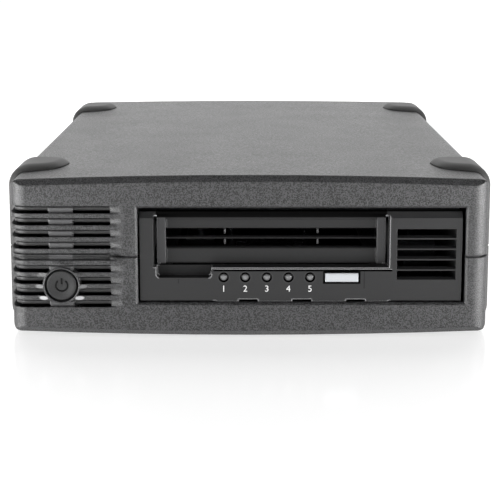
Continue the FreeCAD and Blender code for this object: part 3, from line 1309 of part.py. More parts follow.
def lift_slider():
    """U-shaped slide: two slotted cheeks on one cross strap, with the rack on the right cheek."""
    front = BAY_FRONT + SLIDER_SETBACK
    rear = LIFT_PIN_REAR + SLIDER_MARGIN
    low = FLOOR + CARTRIDGE_PLAY
    high = LIFT_PIN_Z + SLIDER_MARGIN
    left_in = SLIDER_LEFT + SLIDER_PLATE
    right_in = SLIDER_RIGHT - SLIDER_PLATE
    pieces = [
        box(SLIDER_LEFT, left_in, front, rear, low, high),
        box(right_in, SLIDER_RIGHT, front, rear, low, high),
        box(left_in, right_in, front, front + SLIDER_STRAP, low, low + SLIDER_PLATE),
        rack_bar(),
    ]
    slots = []
    for y in (LIFT_PIN_FRONT, LIFT_PIN_REAR):
        slots.append(slanted_slot(y, SLIDER_LEFT - PAST, left_in + PAST))
        slots.append(slanted_slot(y, right_in - PAST, SLIDER_RIGHT + PAST))
    return pieces[0].fuse(pieces[1:]).cut(slots)


def involute_half_angle(radius, base, pitch_radius, half_thickness):
    """Half angle of a tooth at one radius, from its thickness on the pitch circle."""
    if radius <= base:
        return involute_half_angle(base * 1.0001, base, pitch_radius, half_thickness)
    at_pitch = math.acos(base / pitch_radius)
    at_radius = math.acos(base / radius)
    shift = (math.tan(at_pitch) - at_pitch) - (math.tan(at_radius) - at_radius)
    return half_thickness / pitch_radius + shift


def load_pinion():
    """Involute pinion on its shaft; a tooth points straight up at rest."""
    base = GEAR_RADIUS * math.cos(math.radians(PRESSURE_ANGLE))
    outer = GEAR_RADIUS + GEAR_ADDENDUM * GEAR_MODULE
    root = GEAR_RADIUS - GEAR_DEDENDUM * GEAR_MODULE
    half = math.pi * GEAR_MODULE / 4 - GEAR_BACKLASH / 2
    radii = [root, base, GEAR_RADIUS, (GEAR_RADIUS + outer) / 2, outer]
    points = []
    for tooth in range(GEAR_TEETH):
        middle = math.pi / 2 + 2 * math.pi * tooth / GEAR_TEETH
        sides = [(radius, involute_half_angle(radius, base, GEAR_RADIUS, half)) for radius in radii]
        flank = [(radius, middle - angle) for radius, angle in sides]
        flank += [(radius, middle + angle) for radius, angle in reversed(sides)]
        points += [(PINION_Y + r * math.cos(a), PINION_Z + r * math.sin(a)) for r, a in flank]
    left = RACK_LEFT + PINION_GAP
    wheel = prism_x(points, left, RACK_RIGHT)
    shaft = rod_x(PINION_Y, PINION_Z, LOAD_SHAFT_RADIUS, left, RACK_RIGHT + LOAD_SHAFT_LENGTH)
    return wheel.fuse(shaft)


def load_gearmotor():
    """Gearmotor on its saddle; the pinion's shaft turns in the nose of the gearbox."""
    start = RACK_RIGHT + LOAD_MOTOR_GAP
    nose = start - LOAD_NOSE_LENGTH
    end = CHASSIS_RIGHT - CHASSIS_WALL - LOAD_MOTOR_END_GAP
    inset = SADDLE_SHARE * (end - start)
    body = rod_x(PINION_Y, PINION_Z, LOAD_MOTOR_RADIUS, start, end)
    collar = rod_x(PINION_Y, PINION_Z, LOAD_NOSE_RADIUS, nose, start)
    saddle = box(start + inset, end - inset, PINION_Y - LOAD_MOTOR_RADIUS, PINION_Y + LOAD_MOTOR_RADIUS,
                 FLOOR, PINION_Z - SADDLE_DROP)
    bore = rod_x(PINION_Y, PINION_Z, LOAD_SHAFT_RADIUS + RUNNING_CLEARANCE, nose - PAST,
                 RACK_RIGHT + LOAD_SHAFT_LENGTH + CARTRIDGE_PLAY)
    return body.fuse([collar, saddle]).cut(bore)


def motor(x, y, shaft_top):
    """Flat reel motor with its shaft."""
    stator = rod_z(x, y, MOTOR_RADIUS, FLOOR, MOTOR_TOP)
    return stator.fuse(rod_z(x, y, SHAFT_RADIUS, MOTOR_TOP, shaft_top))


def supply_motor():
    return motor(BAY_X, HUB_Y, CHUCK_TOP - SHAFT_DROP)


def supply_chuck():
    """Toothed chuck that takes hold of the cartridge's hub from below."""
    low = MOTOR_TOP + CHUCK_RISE
    disc_top = CHUCK_TOP - CHUCK_CROWN
    disc = rod_z(BAY_X, HUB_Y, CHUCK_RADIUS, low, disc_top)
    crown = rod_z(BAY_X, HUB_Y, CHUCK_CROWN_OUTER, disc_top, CHUCK_TOP)
    crown = crown.cut(rod_z(BAY_X, HUB_Y, CHUCK_CROWN_INNER, disc_top, CHUCK_TOP + PAST))
    half = CHUCK_TOOTH_GAP / 2
    gaps = []
    for index in range(CHUCK_TEETH):
        gap = box(BAY_X + CHUCK_CROWN_INNER - PAST, BAY_X + CHUCK_RADIUS, HUB_Y - half, HUB_Y + half,
                  disc_top + CHUCK_TOOTH_FOOT, CHUCK_TOP + PAST)
        gap.rotate(vector(BAY_X, HUB_Y, 0), vector(0, 0, 1), index * 360.0 / CHUCK_TEETH)
        gaps.append(gap)
    bore = rod_z(BAY_X, HUB_Y, SHAFT_RADIUS + RUNNING_CLEARANCE, low - PAST, CHUCK_TOP + PAST)
    return disc.fuse(crown).cut(gaps + [bore])


def takeup_motor():
    return motor(REEL_X, REEL_Y, REEL_HIGH - SHAFT_DROP)


def takeup_reel():
    """Flanged reel with lightening holes and the leader slot in its hub."""
    reel = rod_z(REEL_X, REEL_Y, REEL_RADIUS, REEL_LOW, REEL_HIGH)
    waist = rod_z(REEL_X, REEL_Y, REEL_RADIUS + PAST, REEL_LOW + REEL_FLANGE, REEL_HIGH - REEL_FLANGE)
    waist = waist.cut(rod_z(REEL_X, REEL_Y, REEL_HUB_RADIUS, REEL_LOW, REEL_HIGH))
    bore = rod_z(REEL_X, REEL_Y, SHAFT_RADIUS + RUNNING_CLEARANCE, REEL_LOW - PAST, REEL_HIGH + PAST)
    cutters = [waist, bore]
    hub_left = REEL_X - REEL_HUB_RADIUS
    half = LEADER_SLOT_WIDTH / 2
    cutters.append(box(hub_left - PAST, hub_left + LEADER_SLOT_DEPTH, REEL_Y - half, REEL_Y + half,
                       REEL_LOW + REEL_FLANGE, REEL_HIGH - REEL_FLANGE))
    ring = (REEL_RADIUS + REEL_HUB_RADIUS) / 2
    for index in range(REEL_HOLES):
        angle = 2 * math.pi * (index + 0.5) / REEL_HOLES
        x = REEL_X + ring * math.cos(angle)
        y = REEL_Y + ring * math.sin(angle)
        cutters.append(rod_z(x, y, REEL_HOLE_RADIUS, REEL_LOW - PAST, REEL_HIGH + PAST))
    return reel.cut(cutters)


def roller_low():
    return REEL_LOW + REEL_FLANGE - ROLLER_FLANGE


def roller_high():
    return roller_low() + TAPE_WIDTH + 2 * ROLLER_FLANGE


def guide_roller(place):
    """Flanged tape roller."""
    x, y = place
    low = roller_low()
    high = roller_high()
    flange = ROLLER_RADIUS + ROLLER_RIM
    roller = rod_z(x, y, ROLLER_RADIUS, low, high)
    rims = [rod_z(x, y, flange, low, low + ROLLER_FLANGE), rod_z(x, y, flange, high - ROLLER_FLANGE, high)]
    return roller.fuse(rims).cut(rod_z(x, y, POST_RADIUS + RUNNING_CLEARANCE, low - PAST, high + PAST))


def tape_guide_base():
    """Plate with the four roller posts and their shoulders."""
    xs = [place[0] for place in ROLLER_PLACES]
    ys = [place[1] for place in ROLLER_PLACES]
    margin = GUIDE_BASE_MARGIN
    plate = box(min(xs) - margin, max(xs) + margin, min(ys) - margin, max(ys) + margin, FLOOR, GUIDE_BASE_TOP)
    posts = []
    for x, y in ROLLER_PLACES:
        posts.append(rod_z(x, y, POST_RADIUS, GUIDE_BASE_TOP, roller_high() + POST_END))
        posts.append(rod_z(x, y, POST_RADIUS + POST_SHOULDER, GUIDE_BASE_TOP, roller_low() - CARTRIDGE_PLAY))
    return plate.fuse(posts)


def head_low():
    return roller_low() - HEAD_DROP


def head_carriage():
    """Recording head on its carriage, which runs up and down the guide rod."""
    low = head_low()
    high = low + HEAD_HEIGHT
    face = TAPE_X - CARTRIDGE_PLAY
    neck = face - HEAD_NOSE
    half = HEAD_ARM / 2
    foot = HEAD_NOSE_FOOT / 2
    tip = HEAD_NOSE_TIP / 2
    arm = box(ROD_X - HEAD_ARM_BACK, neck, HEAD_Y - half, HEAD_Y + half, low, high)
    nose = [(neck, HEAD_Y - foot), (face, HEAD_Y - tip), (face, HEAD_Y + tip), (neck, HEAD_Y + foot)]
    head = prism_z(nose, low, high)
    thin = COIL_THICKNESS / 2
    coil = box(ROD_X - thin, ROD_X + thin, HEAD_Y + half, HEAD_Y + half + COIL_LENGTH,
               low + COIL_INSET, high - COIL_INSET)
    bore = rod_z(ROD_X, HEAD_Y, GUIDE_ROD_RADIUS + RUNNING_CLEARANCE, low - PAST, high + PAST)
    return arm.fuse([head, coil]).cut(bore)


def head_guide_rod():
    top = head_low() + HEAD_HEIGHT + HEAD_TRAVEL + HEAD_ROD_END
    return rod_z(ROD_X, HEAD_Y, GUIDE_ROD_RADIUS, FLOOR, top)


def voice_coil_yoke():
    """Magnet yoke with the slot that the head's coil moves in, up and down."""
    top = head_low() + HEAD_HEIGHT + HEAD_TRAVEL
    half = YOKE_WIDTH / 2
    gap = COIL_THICKNESS / 2 + CARTRIDGE_PLAY
    front = HEAD_Y + HEAD_ARM / 2 + YOKE_GAP
    block = box(ROD_X - half, ROD_X + half, front, front + YOKE_LENGTH, FLOOR, top)
    slot = box(ROD_X - gap, ROD_X + gap, front - PAST, front + YOKE_SLOT_LENGTH,
               head_low() + COIL_INSET / 2, top + PAST)
    return block.cut(slot)


def main_board():
    """Main board of the drive on its four posts, with its larger chips."""
    left = CHASSIS_LEFT + CHASSIS_WALL + MAIN_BOARD_GAP
    right = CHASSIS_RIGHT - CHASSIS_WALL - MAIN_BOARD_GAP
    front = BAY_REAR + MAIN_BOARD_SETBACK
    rear = CHASSIS_REAR - CHASSIS_WALL - MAIN_BOARD_GAP
    top = MAIN_BOARD_Z + BOARD
    board = box(left, right, front, rear, MAIN_BOARD_Z, top)
    y = (front + rear) / 2
    chips = []
    for size, share in zip(CHIP_SIZES, CHIP_SHARES):
        x = left + share * (right - left)
        chips.append(box(x - size / 2, x + size / 2, y - size / 2, y + size / 2, top, top + CHIP_HEIGHT))
    return board.fuse(chips)


def supply_board():
    board = box(SUPPLY_LEFT, SUPPLY_RIGHT, SUPPLY_FRONT, SUPPLY_REAR, SUPPLY_Z, SUPPLY_TOP)
    holes = [rod_z(x, y, SCREW_RADIUS + SCREW_CLEARANCE, SUPPLY_Z - PAST, SUPPLY_TOP + PAST)
             for x, y in supply_screw_places()]
    return board.cut(holes)


def supply_transformer():
    """Core with its bobbin."""
    y = (SUPPLY_FRONT + SUPPLY_REAR) / 2
    half = CORE_SHARE * SUPPLY_WIDTH / 2
    depth = TRANSFORMER_CORE / 2
    core = box(SUPPLY_X - half, SUPPLY_X + half, y - depth, y + depth,
               SUPPLY_TOP, SUPPLY_TOP + TRANSFORMER_HEIGHT)
    half = BOBBIN_SHARE * SUPPLY_WIDTH / 2
    depth = BOBBIN_LENGTH / 2
    bobbin = rounded_box(SUPPLY_X - half, SUPPLY_X + half, y - depth, y + depth, SUPPLY_TOP,
                         SUPPLY_TOP + BOBBIN_HEIGHT, half / 2, vector(0, 0, 1))
    return core.fuse(bobbin)


def supply_capacitors():
    """One bulk capacitor by the board's left edge and two output capacitors in line."""
    bulk_x = SUPPLY_LEFT + BULK_CAPACITOR_MARGIN + BULK_CAPACITOR_RADIUS
    bulk_y = SUPPLY_FRONT + BULK_CAPACITOR_SHARE * SUPPLY_LENGTH
    cans = [rod_z(bulk_x, bulk_y, BULK_CAPACITOR_RADIUS, SUPPLY_TOP, SUPPLY_TOP + BULK_CAPACITOR_HEIGHT)]
    output_x = SUPPLY_X - OUTPUT_CAPACITOR_SHIFT * SUPPLY_WIDTH
    output_y = SUPPLY_FRONT + OUTPUT_CAPACITOR_SHARE * SUPPLY_LENGTH
    for y in (output_y - OUTPUT_CAPACITOR_STEP, output_y):
        cans.append(rod_z(output_x, y, OUTPUT_CAPACITOR_RADIUS,
                          SUPPLY_TOP, SUPPLY_TOP + OUTPUT_CAPACITOR_HEIGHT))
    return Part.makeCompound(cans)


def supply_heat_sinks():
    """Two finned aluminium plates, one for each side of the converter."""
    half_plate = SINK_PLATE_SHARE * SUPPLY_WIDTH / 2
    half_fin = FIN_SHARE * SUPPLY_WIDTH / 2
    top = SUPPLY_TOP + SINK_HEIGHT
    sinks = []
    for along, across in SINK_PLACES:
        x = SUPPLY_X + across * SUPPLY_WIDTH
        y = SUPPLY_FRONT + along * SUPPLY_LENGTH
        plate = box(x - half_plate, x + half_plate, y - SINK_LENGTH / 2, y + SINK_LENGTH / 2, SUPPLY_TOP, top)
        fins = []
        for index in range(FIN_COUNT):
            fin_y = y + (index - (FIN_COUNT - 1) / 2) * FIN_PITCH
            fins.append(box(x - half_fin, x + half_fin, fin_y - FIN_SHEET / 2, fin_y + FIN_SHEET / 2,
                            SUPPLY_TOP + FIN_FOOT, top))
        sinks.append(plate.fuse(fins))
    return Part.makeCompound(sinks)


def fan_hole_places():
    half = FAN_HOLE_SPACING / 2
    return [(FAN_X + sx * half, MID + sz * half) for sx in (-1, 1) for sz in (-1, 1)]


def inlet_body_half():
    return INLET_WIDTH / 2 + INLET_WALL, INLET_HEIGHT / 2 + INLET_WALL


def port_body_half():
    return PORT_WIDTH / 2 + PORT_WALL, PORT_HEIGHT / 2 + PORT_WALL


def rear_panel():
    """Sheet panel behind the rear rim, with holes for the fan, the inlet, the data port and the screws."""
    x = INNER_HALF - PANEL_PLAY
    panel = rounded_box(-x, x, PANEL_FRONT, PANEL_REAR, INNER_LOW + PANEL_PLAY, INNER_HIGH - PANEL_PLAY,
                        PANEL_CORNER, vector(0, 1, 0))
    y0 = PANEL_FRONT - PAST
    y1 = PANEL_REAR + PAST
    wide, tall = inlet_body_half()
    port_wide, port_tall = port_body_half()
    cutters = [
        rod_y(FAN_X, MID, FAN_DUCT_RADIUS, y0, y1),
        box(INLET_X - wide, INLET_X + wide, y0, y1, MID - tall, MID + tall),
        box(PORT_X - port_wide, PORT_X + port_wide, y0, y1, PORT_Z - port_tall, PORT_Z + port_tall),
    ]
    for hole_x, hole_z in fan_hole_places() + rear_screw_places():
        cutters.append(rod_y(hole_x, hole_z, SCREW_RADIUS + SCREW_CLEARANCE, y0, y1))
    return panel.cut(cutters)


def mains_inlet():
    """Moulded inlet: socket with a flange outside the panel."""
    wide, tall = inlet_body_half()
    mouth = PANEL_REAR + INLET_FLANGE
    floor = mouth - INLET_DEPTH
    back = floor - INLET_FLOOR
    rim = INLET_RIM
    body = box(INLET_X - wide, INLET_X + wide, back, PANEL_REAR, MID - tall, MID + tall)
    flange = rounded_box(INLET_X - wide - rim, INLET_X + wide + rim, PANEL_REAR, mouth,
                         MID - tall - rim, MID + tall + rim, rim, vector(0, 1, 0))
    socket = rounded_box(INLET_X - INLET_WIDTH / 2, INLET_X + INLET_WIDTH / 2, floor, mouth + PAST,
                         MID - INLET_HEIGHT / 2, MID + INLET_HEIGHT / 2, INLET_CORNER, vector(0, 1, 0))
    slots = [contact_blade(x, z, back - PAST, floor + PAST) for x, z in inlet_pin_places()]
    return body.fuse(flange).cut([socket] + slots)


def inlet_pin_places():
    half = PIN_SPACING / 2
    low = MID - PIN_STAGGER
    return [(INLET_X - half, low), (INLET_X + half, low), (INLET_X, MID + PIN_STAGGER)]


def contact_blade(x, z, y0, y1):
    return box(x - PIN_SHEET / 2, x + PIN_SHEET / 2, y0, y1, z - PIN_WIDTH / 2, z + PIN_WIDTH / 2)


def inlet_pins():
    """Three contact blades that run through the inlet's floor to solder tabs."""
    floor = PANEL_REAR + INLET_FLANGE - INLET_DEPTH
    blades = [contact_blade(x, z, floor - INLET_TAB, floor + PIN_LENGTH) for x, z in inlet_pin_places()]
    return Part.makeCompound(blades)


def data_port():
    """Shielded data socket with its contact tongue."""
    wide, tall = port_body_half()
    mouth = PANEL_REAR + PORT_FLANGE
    floor = mouth - PORT_DEPTH
    body = box(PORT_X - wide, PORT_X + wide, floor - PORT_BACK, PANEL_REAR, PORT_Z - tall, PORT_Z + tall)
    rim = PORT_RIM
    flange = box(PORT_X - wide - rim, PORT_X + wide + rim, PANEL_REAR, mouth,
                 PORT_Z - tall - rim, PORT_Z + tall + rim)
    socket = box(PORT_X - PORT_WIDTH / 2, PORT_X + PORT_WIDTH / 2, floor, mouth + PAST,
                 PORT_Z - PORT_HEIGHT / 2, PORT_Z + PORT_HEIGHT / 2)
    half = PORT_WIDTH / 2 - TONGUE_MARGIN
    thin = TONGUE_SHEET / 2
    tongue = box(PORT_X - half, PORT_X + half, floor, mouth - TONGUE_SETBACK, PORT_Z - thin, PORT_Z + thin)
    return body.fuse(flange).cut(socket).fuse(tongue)


def fan_frame():
    """Square fan frame with a round duct, four struts and the hub plate that holds the shaft."""
    half = FAN_SIZE / 2
    block = rounded_box(FAN_X - half, FAN_X + half, FAN_FRONT, PANEL_FRONT, MID - half, MID + half,
                        FAN_CORNER, vector(0, 1, 0))
    duct = rod_y(FAN_X, MID, FAN_DUCT_RADIUS, FAN_FRONT - PAST, PANEL_FRONT + PAST)
    frame = block.cut(duct)
    plate_front = PANEL_FRONT - FAN_PLATE
    struts = [rod_y(FAN_X, MID, FAN_HUB_RADIUS - FAN_PLATE_INSET, plate_front, PANEL_FRONT)]
    for turn in (0, 90):
        strut = box(FAN_X - FAN_DUCT_RADIUS - PAST, FAN_X + FAN_DUCT_RADIUS + PAST, plate_front, PANEL_FRONT,
                    MID - FAN_STRUT / 2, MID + FAN_STRUT / 2)
        strut.rotate(vector(FAN_X, 0, MID), vector(0, 1, 0), turn)
        struts.append(strut)
    shaft = rod_y(FAN_X, MID, GUIDE_ROD_RADIUS, plate_front - FAN_SHAFT_LENGTH, plate_front)
    holes = [rod_y(x, z, SCREW_RADIUS + SCREW_CLEARANCE, PANEL_FRONT - FAN_HOLE_DEPTH, PANEL_FRONT + PAST)
             for x, z in fan_hole_places()]
    return frame.fuse(struts + [shaft]).cut(holes)


def blade_section(radius, chord, pitch):
    """Closed section of a fan blade at one radius, chord and pitch angle."""
    middle = (FAN_FRONT + PANEL_FRONT - FAN_PLATE) / 2
    half = BLADE_SHEET / 2
    points = []
    for along, across in ((-chord / 2, -half), (chord / 2, -half), (chord / 2, half), (-chord / 2, half)):
        tangent = along * math.cos(pitch) - across * math.sin(pitch)
        axial = along * math.sin(pitch) + across * math.cos(pitch)
        points.append(vector(FAN_X + radius, middle + axial, MID + tangent))
    return Part.makePolygon(points + points[:1])


def fan_rotor():
    """Hub with twisted blades, running on the frame's shaft."""
    plate_front = PANEL_FRONT - FAN_PLATE
    hub = rod_y(FAN_X, MID, FAN_HUB_RADIUS, FAN_FRONT + FAN_HUB_INSET, plate_front - FAN_HUB_GAP)
    root = blade_section(FAN_HUB_RADIUS - PAST, BLADE_ROOT_CHORD, math.radians(BLADE_ROOT_PITCH))
    tip = blade_section(FAN_TIP_RADIUS, BLADE_TIP_CHORD, math.radians(BLADE_TIP_PITCH))
    blade = Part.makeLoft([root, tip], True, True)
    blades = []
    for index in range(FAN_BLADES):
        turned = blade.copy()
        turned.rotate(vector(FAN_X, 0, MID), vector(0, 1, 0), index * 360.0 / FAN_BLADES)
        blades.append(turned)
    shaft_end = plate_front - FAN_SHAFT_LENGTH
    bore = rod_y(FAN_X, MID, GUIDE_ROD_RADIUS + RUNNING_CLEARANCE, shaft_end - PAST, plate_front)
    return hub.fuse(blades).cut(bore)


def fan_guard():
    """Finger guard: rings on two diagonal bars with a screw eye at each end."""
    y0 = PANEL_REAR
    y1 = PANEL_REAR + GUARD_WIRE
    half = GUARD_WIRE / 2
    pieces = []
    for index in range(GUARD_RINGS):
        radius = FAN_TIP_RADIUS - index * GUARD_RING_PITCH
        ring = rod_y(FAN_X, MID, radius + half, y0, y1)
        pieces.append(ring.cut(rod_y(FAN_X, MID, radius - half, y0 - PAST, y1 + PAST)))
    reach = FAN_HOLE_SPACING / math.sqrt(2)
    for turn in (45, 135):
        bar = box(FAN_X - reach, FAN_X + reach, y0, y1, MID - half, MID + half)
        bar.rotate(vector(FAN_X, 0, MID), vector(0, 1, 0), turn)
        pieces.append(bar)
    pieces += [rod_y(x, z, SCREW_HEAD_RADIUS + GUARD_EYE_RIM, y0, y1) for x, z in fan_hole_places()]
    holes = [rod_y(x, z, SCREW_RADIUS + SCREW_CLEARANCE, y0 - PAST, y1 + PAST) for x, z in fan_hole_places()]
    return pieces[0].fuse(pieces[1:]).cut(holes)


def screw(point, axis, length):
    """Pan-head screw with a cross recess; the axis points from the head's seat into the work."""
    shank = Part.makeCylinder(SCREW_RADIUS, length, point, axis)
    back = point - axis * SCREW_HEAD
    head = Part.makeCylinder(SCREW_HEAD_RADIUS, SCREW_HEAD, back, axis)
    body = shank.fuse(head)
    half = SCREW_HEAD_RADIUS * RECESS_SHARE
    slot = Part.makeBox(2 * half, RECESS_WIDTH, RECESS_DEPTH, vector(-half, -RECESS_WIDTH / 2, 0))
    cross = slot.copy()
    cross.rotate(vector(0, 0, 0), vector(0, 0, 1), 90)
    turn = FreeCAD.Rotation(vector(0, 0, 1), axis)
    for tool in (slot, cross):
        tool.Placement = FreeCAD.Placement(back, turn).multiply(tool.Placement)
    return body.cut([slot, cross])


def screws(places, axis, length):
    return Part.makeCompound([screw(vector(*place), axis, length) for place in places])


def case_screws():
    places = [(x, y, LOW + CASE_SCREW_SINK) for x, y in case_boss_places()]
    return screws(places, vector(0, 0, 1), CASE_SCREW_LENGTH)


def drive_screws():
    places = [(x, y, drive_screw_seat()) for x, y in drive_screw_places()]
    return screws(places, vector(0, 0, 1), FLOOR - drive_screw_seat())


def supply_screws():
    places = [(x, y, SUPPLY_TOP) for x, y in supply_screw_places()]
    return screws(places, vector(0, 0, -1), BOARD + SUPPLY_STAND - SUPPLY_SCREW_REST)


def rear_panel_screws():
    places = [(x, REAR - SCREW_HEAD, z) for x, z in rear_screw_places()]
    return screws(places, vector(0, -1, 0), RIM - SCREW_HEAD + PANEL_SHEET + PANEL_SCREW_BITE)


def fan_screws():
    seat = PANEL_REAR + GUARD_WIRE
    places = [(x, seat, z) for x, z in fan_hole_places()]
    return screws(places, vector(0, -1, 0), GUARD_WIRE + PANEL_SHEET + FAN_SCREW_BITE)


def bend_piece(section_centre, direction, centre, axis, turn, radius):
    """Round bend of a cable, turned about the axis of its arc."""
    disc = Part.Face(Part.Wire(Part.makeCircle(radius, section_centre, direction)))
    return disc.revolve(centre, axis, math.degrees(turn))


def tube(points, radius):
    """Round cable along straight runs joined by tangent arcs."""
    places = [vector(*point) for point in points]
    pieces = []
    start = places[0]
    for before, corner, after in zip(places, places[1:], places[2:]):
        run_in = corner - before
        run_out = after - corner
        turn = run_in.getAngle(run_out)
        setback = BEND_SHARE * min(run_in.Length, run_out.Length)
        run_in.normalize()
        run_out.normalize()
        enter = corner - run_in * setback
        bend = setback / math.tan(turn / 2)
        inward = run_out - run_in
        inward.normalize()
        centre = corner + inward * (bend / math.cos(turn / 2))
        pieces.append(Part.makeCylinder(radius, (enter - start).Length, start, run_in))
        pieces.append(bend_piece(enter, run_in, centre, run_in.cross(run_out), turn, radius))
        start = corner + run_out * setback
    last = places[-1] - start
    pieces.append(Part.makeCylinder(radius, last.Length, start, last))
    return pieces[0].fuse(pieces[1:])


def data_cable():
    """Lead from the drive's data receptacle to the rear socket."""
    x0, x1, z0, z1 = connector_window()
    x = (x0 + x1) / 2
    z = (z0 + z1) / 2
    start = CHASSIS_REAR + CONNECTOR_PROUD
    end = PANEL_REAR + PORT_FLANGE - PORT_DEPTH - PORT_BACK
    run = (end - start) / 4
    return tube([(x, start, z), (x, start + run, z), (PORT_X, end - run, PORT_Z), (PORT_X, end, PORT_Z)],
                DATA_CABLE_RADIUS)


def output_plug_place():
    """Where the drive's power lead meets the supply's output plug."""
    x = SUPPLY_RIGHT - PLUG_INSET_SHARE * SUPPLY_WIDTH
    return x, SUPPLY_REAR - PLUG_SETBACK, SUPPLY_TOP + PLUG_HEIGHT / 2


def drive_power_cable():
    """Lead from the drive's power receptacle, behind the chassis, to the supply's output plug."""
    x0, x1, z0, z1 = power_window()
    x = (x0 + x1) / 2
    z = (z0 + z1) / 2
    start = CHASSIS_REAR + CONNECTOR_PROUD
    bend = start + POWER_CABLE_RUN
    plug_x, plug_y, plug_z = output_plug_place()
    return tube([
        (x, start, z),
        (x, bend, z),
        (x - POWER_CABLE_RUN, bend + POWER_CABLE_DIP, (z + plug_z) / 2),
        ((x + plug_x) / 2, plug_y, plug_z),
        (plug_x, plug_y, plug_z),
    ], POWER_CABLE_RADIUS)


def mains_plug_rear():
    return SUPPLY_REAR - MAINS_PLUG_SETBACK


def supply_plugs():
    """Plugs on the supply board: output to the drive, mains from the inlet and leads to the switch."""
    top = SUPPLY_TOP + PLUG_HEIGHT
    width = PLUG_SHARE * SUPPLY_WIDTH
    plug_x, plug_y, plug_z = output_plug_place()
    front = SUPPLY_FRONT + SWITCH_PLUG_SETBACK
    blades = switch_blade_places()
    margin = SWITCH_PLUG_MARGIN
    plugs = [
        box(plug_x - width, plug_x, plug_y - PLUG_LENGTH / 2, plug_y + PLUG_LENGTH / 2, SUPPLY_TOP, top),
        box(SUPPLY_X - width, SUPPLY_X + width, mains_plug_rear() - MAINS_PLUG_LENGTH, mains_plug_rear(),
            SUPPLY_TOP, top),
        box(blades[0] - margin, blades[1] + margin, front, front + SWITCH_PLUG_LENGTH, SUPPLY_TOP, top),
    ]
    return Part.makeCompound(plugs)


def mains_wiring():
    """Leads from the inlet's blades to the supply, and from the supply to the power switch."""
    plug_z = SUPPLY_TOP + PLUG_HEIGHT / 2
    rear = mains_plug_rear()
    tab = PANEL_REAR + INLET_FLANGE - INLET_DEPTH - INLET_TAB
    run = (tab - rear) / 3
    half = PLUG_SHARE * SUPPLY_WIDTH / 2
    leads = []
    for (x, z), plug_x in zip(inlet_pin_places(), (SUPPLY_X - half, SUPPLY_X + half)):
        path = [(x, tab, z), (x, tab - run, z), (plug_x, rear + run, plug_z), (plug_x, rear, plug_z)]
        leads.append(tube(path, LEAD_RADIUS))
    blade = switch_front() + SWITCH_DEPTH + SWITCH_BLADE
    plug = SUPPLY_FRONT + SWITCH_PLUG_SETBACK
    run = (plug - blade) / 3
    for x in switch_blade_places():
        path = [(x, blade, POWER_Z), (x, blade + run, POWER_Z), (x, plug - run, plug_z), (x, plug, plug_z)]
        leads.append(tube(path, LEAD_RADIUS))
    return Part.makeCompound(leads)


def power_button_spring():
    """Square-wire coil between the button's flange and the switch."""
    start = button_flange_front() + BUTTON_FLANGE
    room = switch_front() - start
    height = room - SPRING_WIRE
    helix = Part.makeHelix(height / SPRING_TURNS, height, SPRING_RADIUS)
    half = SPRING_WIRE / 2
    corners = [(-half, -half), (half, -half), (half, half), (-half, half)]
    points = [vector(SPRING_RADIUS + out, 0, up) for out, up in corners]
    wire_section = Part.makePolygon(points + points[:1])
    coil = Part.Wire(helix).makePipeShell([wire_section], True, True)
    coil.rotate(vector(0, 0, 0), vector(1, 0, 0), -90)
    coil.translate(vector(POWER_X, start + SPRING_WIRE / 2, POWER_Z))
    return coil


OUTER = outer_body()
HOUSING = housing()

PARTS = {
    "upper_shell": upper_shell(),
    "lower_shell": lower_shell(),
    "power_button": power_button(),
    "power_button_spring": power_button_spring(),
    "power_switch": power_switch(),
    "drive_bezel": drive_bezel(),
    "cartridge_door": cartridge_door(),
    "door_hinge_pin": door_hinge_pin(),
    "eject_button": eject_button(),
    "status_light_pipe": status_light_pipe(),
    "front_board": front_board(),
    "drive_chassis": drive_chassis(),
    "drive_top_cover": drive_top_cover(),
    "drive_connectors": drive_connectors(),
    "cartridge_carriage": cartridge_carriage(),
    "carriage_guide_rods": carriage_guide_rods(),
    "lift_slider": lift_slider(),
    "load_pinion": load_pinion(),
    "load_gearmotor": load_gearmotor(),
    "supply_motor": supply_motor(),
    "supply_chuck": supply_chuck(),
    "takeup_motor": takeup_motor(),
    "takeup_reel": takeup_reel(),
    "tape_guide_base": tape_guide_base(),
    "head_carriage": head_carriage(),
    "head_guide_rod": head_guide_rod(),
    "voice_coil_yoke": voice_coil_yoke(),
    "main_board": main_board(),
    "supply_board": supply_board(),
    "supply_transformer": supply_transformer(),
    "supply_capacitors": supply_capacitors(),
    "supply_heat_sinks": supply_heat_sinks(),
    "supply_plugs": supply_plugs(),
    "rear_panel": rear_panel(),
    "mains_inlet": mains_inlet(),
    "inlet_pins": inlet_pins(),
    "data_port": data_port(),
    "fan_frame": fan_frame(),
    "fan_rotor": fan_rotor(),
    "fan_guard": fan_guard(),
    "case_screws": case_screws(),
    "drive_screws": drive_screws(),
    "supply_screws": supply_screws(),
    "rear_panel_screws": rear_panel_screws(),
    "fan_screws": fan_screws(),
    "data_cable": data_cable(),
    "drive_power_cable": drive_power_cable(),
    "mains_wiring": mains_wiring(),
}

for index, place in enumerate(ROLLER_PLACES):
    PARTS["guide_roller_" + str(index + 1)] = guide_roller(place)

BUMPER_ENDS = {"front": FRONT + BUMPER_FRONT_SETBACK, "rear": REAR - BUMPER_REAR_SETBACK}
for end, middle in BUMPER_ENDS.items():
    for side, sign in (("left", -1), ("right", 1)):
        PARTS["upper_bumper_" + end + "_" + side] = bumper(sign, middle, True)
        PARTS["lower_bumper_" + end + "_" + side] = bumper(sign, middle, False)

os.makedirs("parts", exist_ok=True)
for name, shape in PARTS.items():
    shape.exportStep("parts/" + name + ".step")
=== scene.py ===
import math

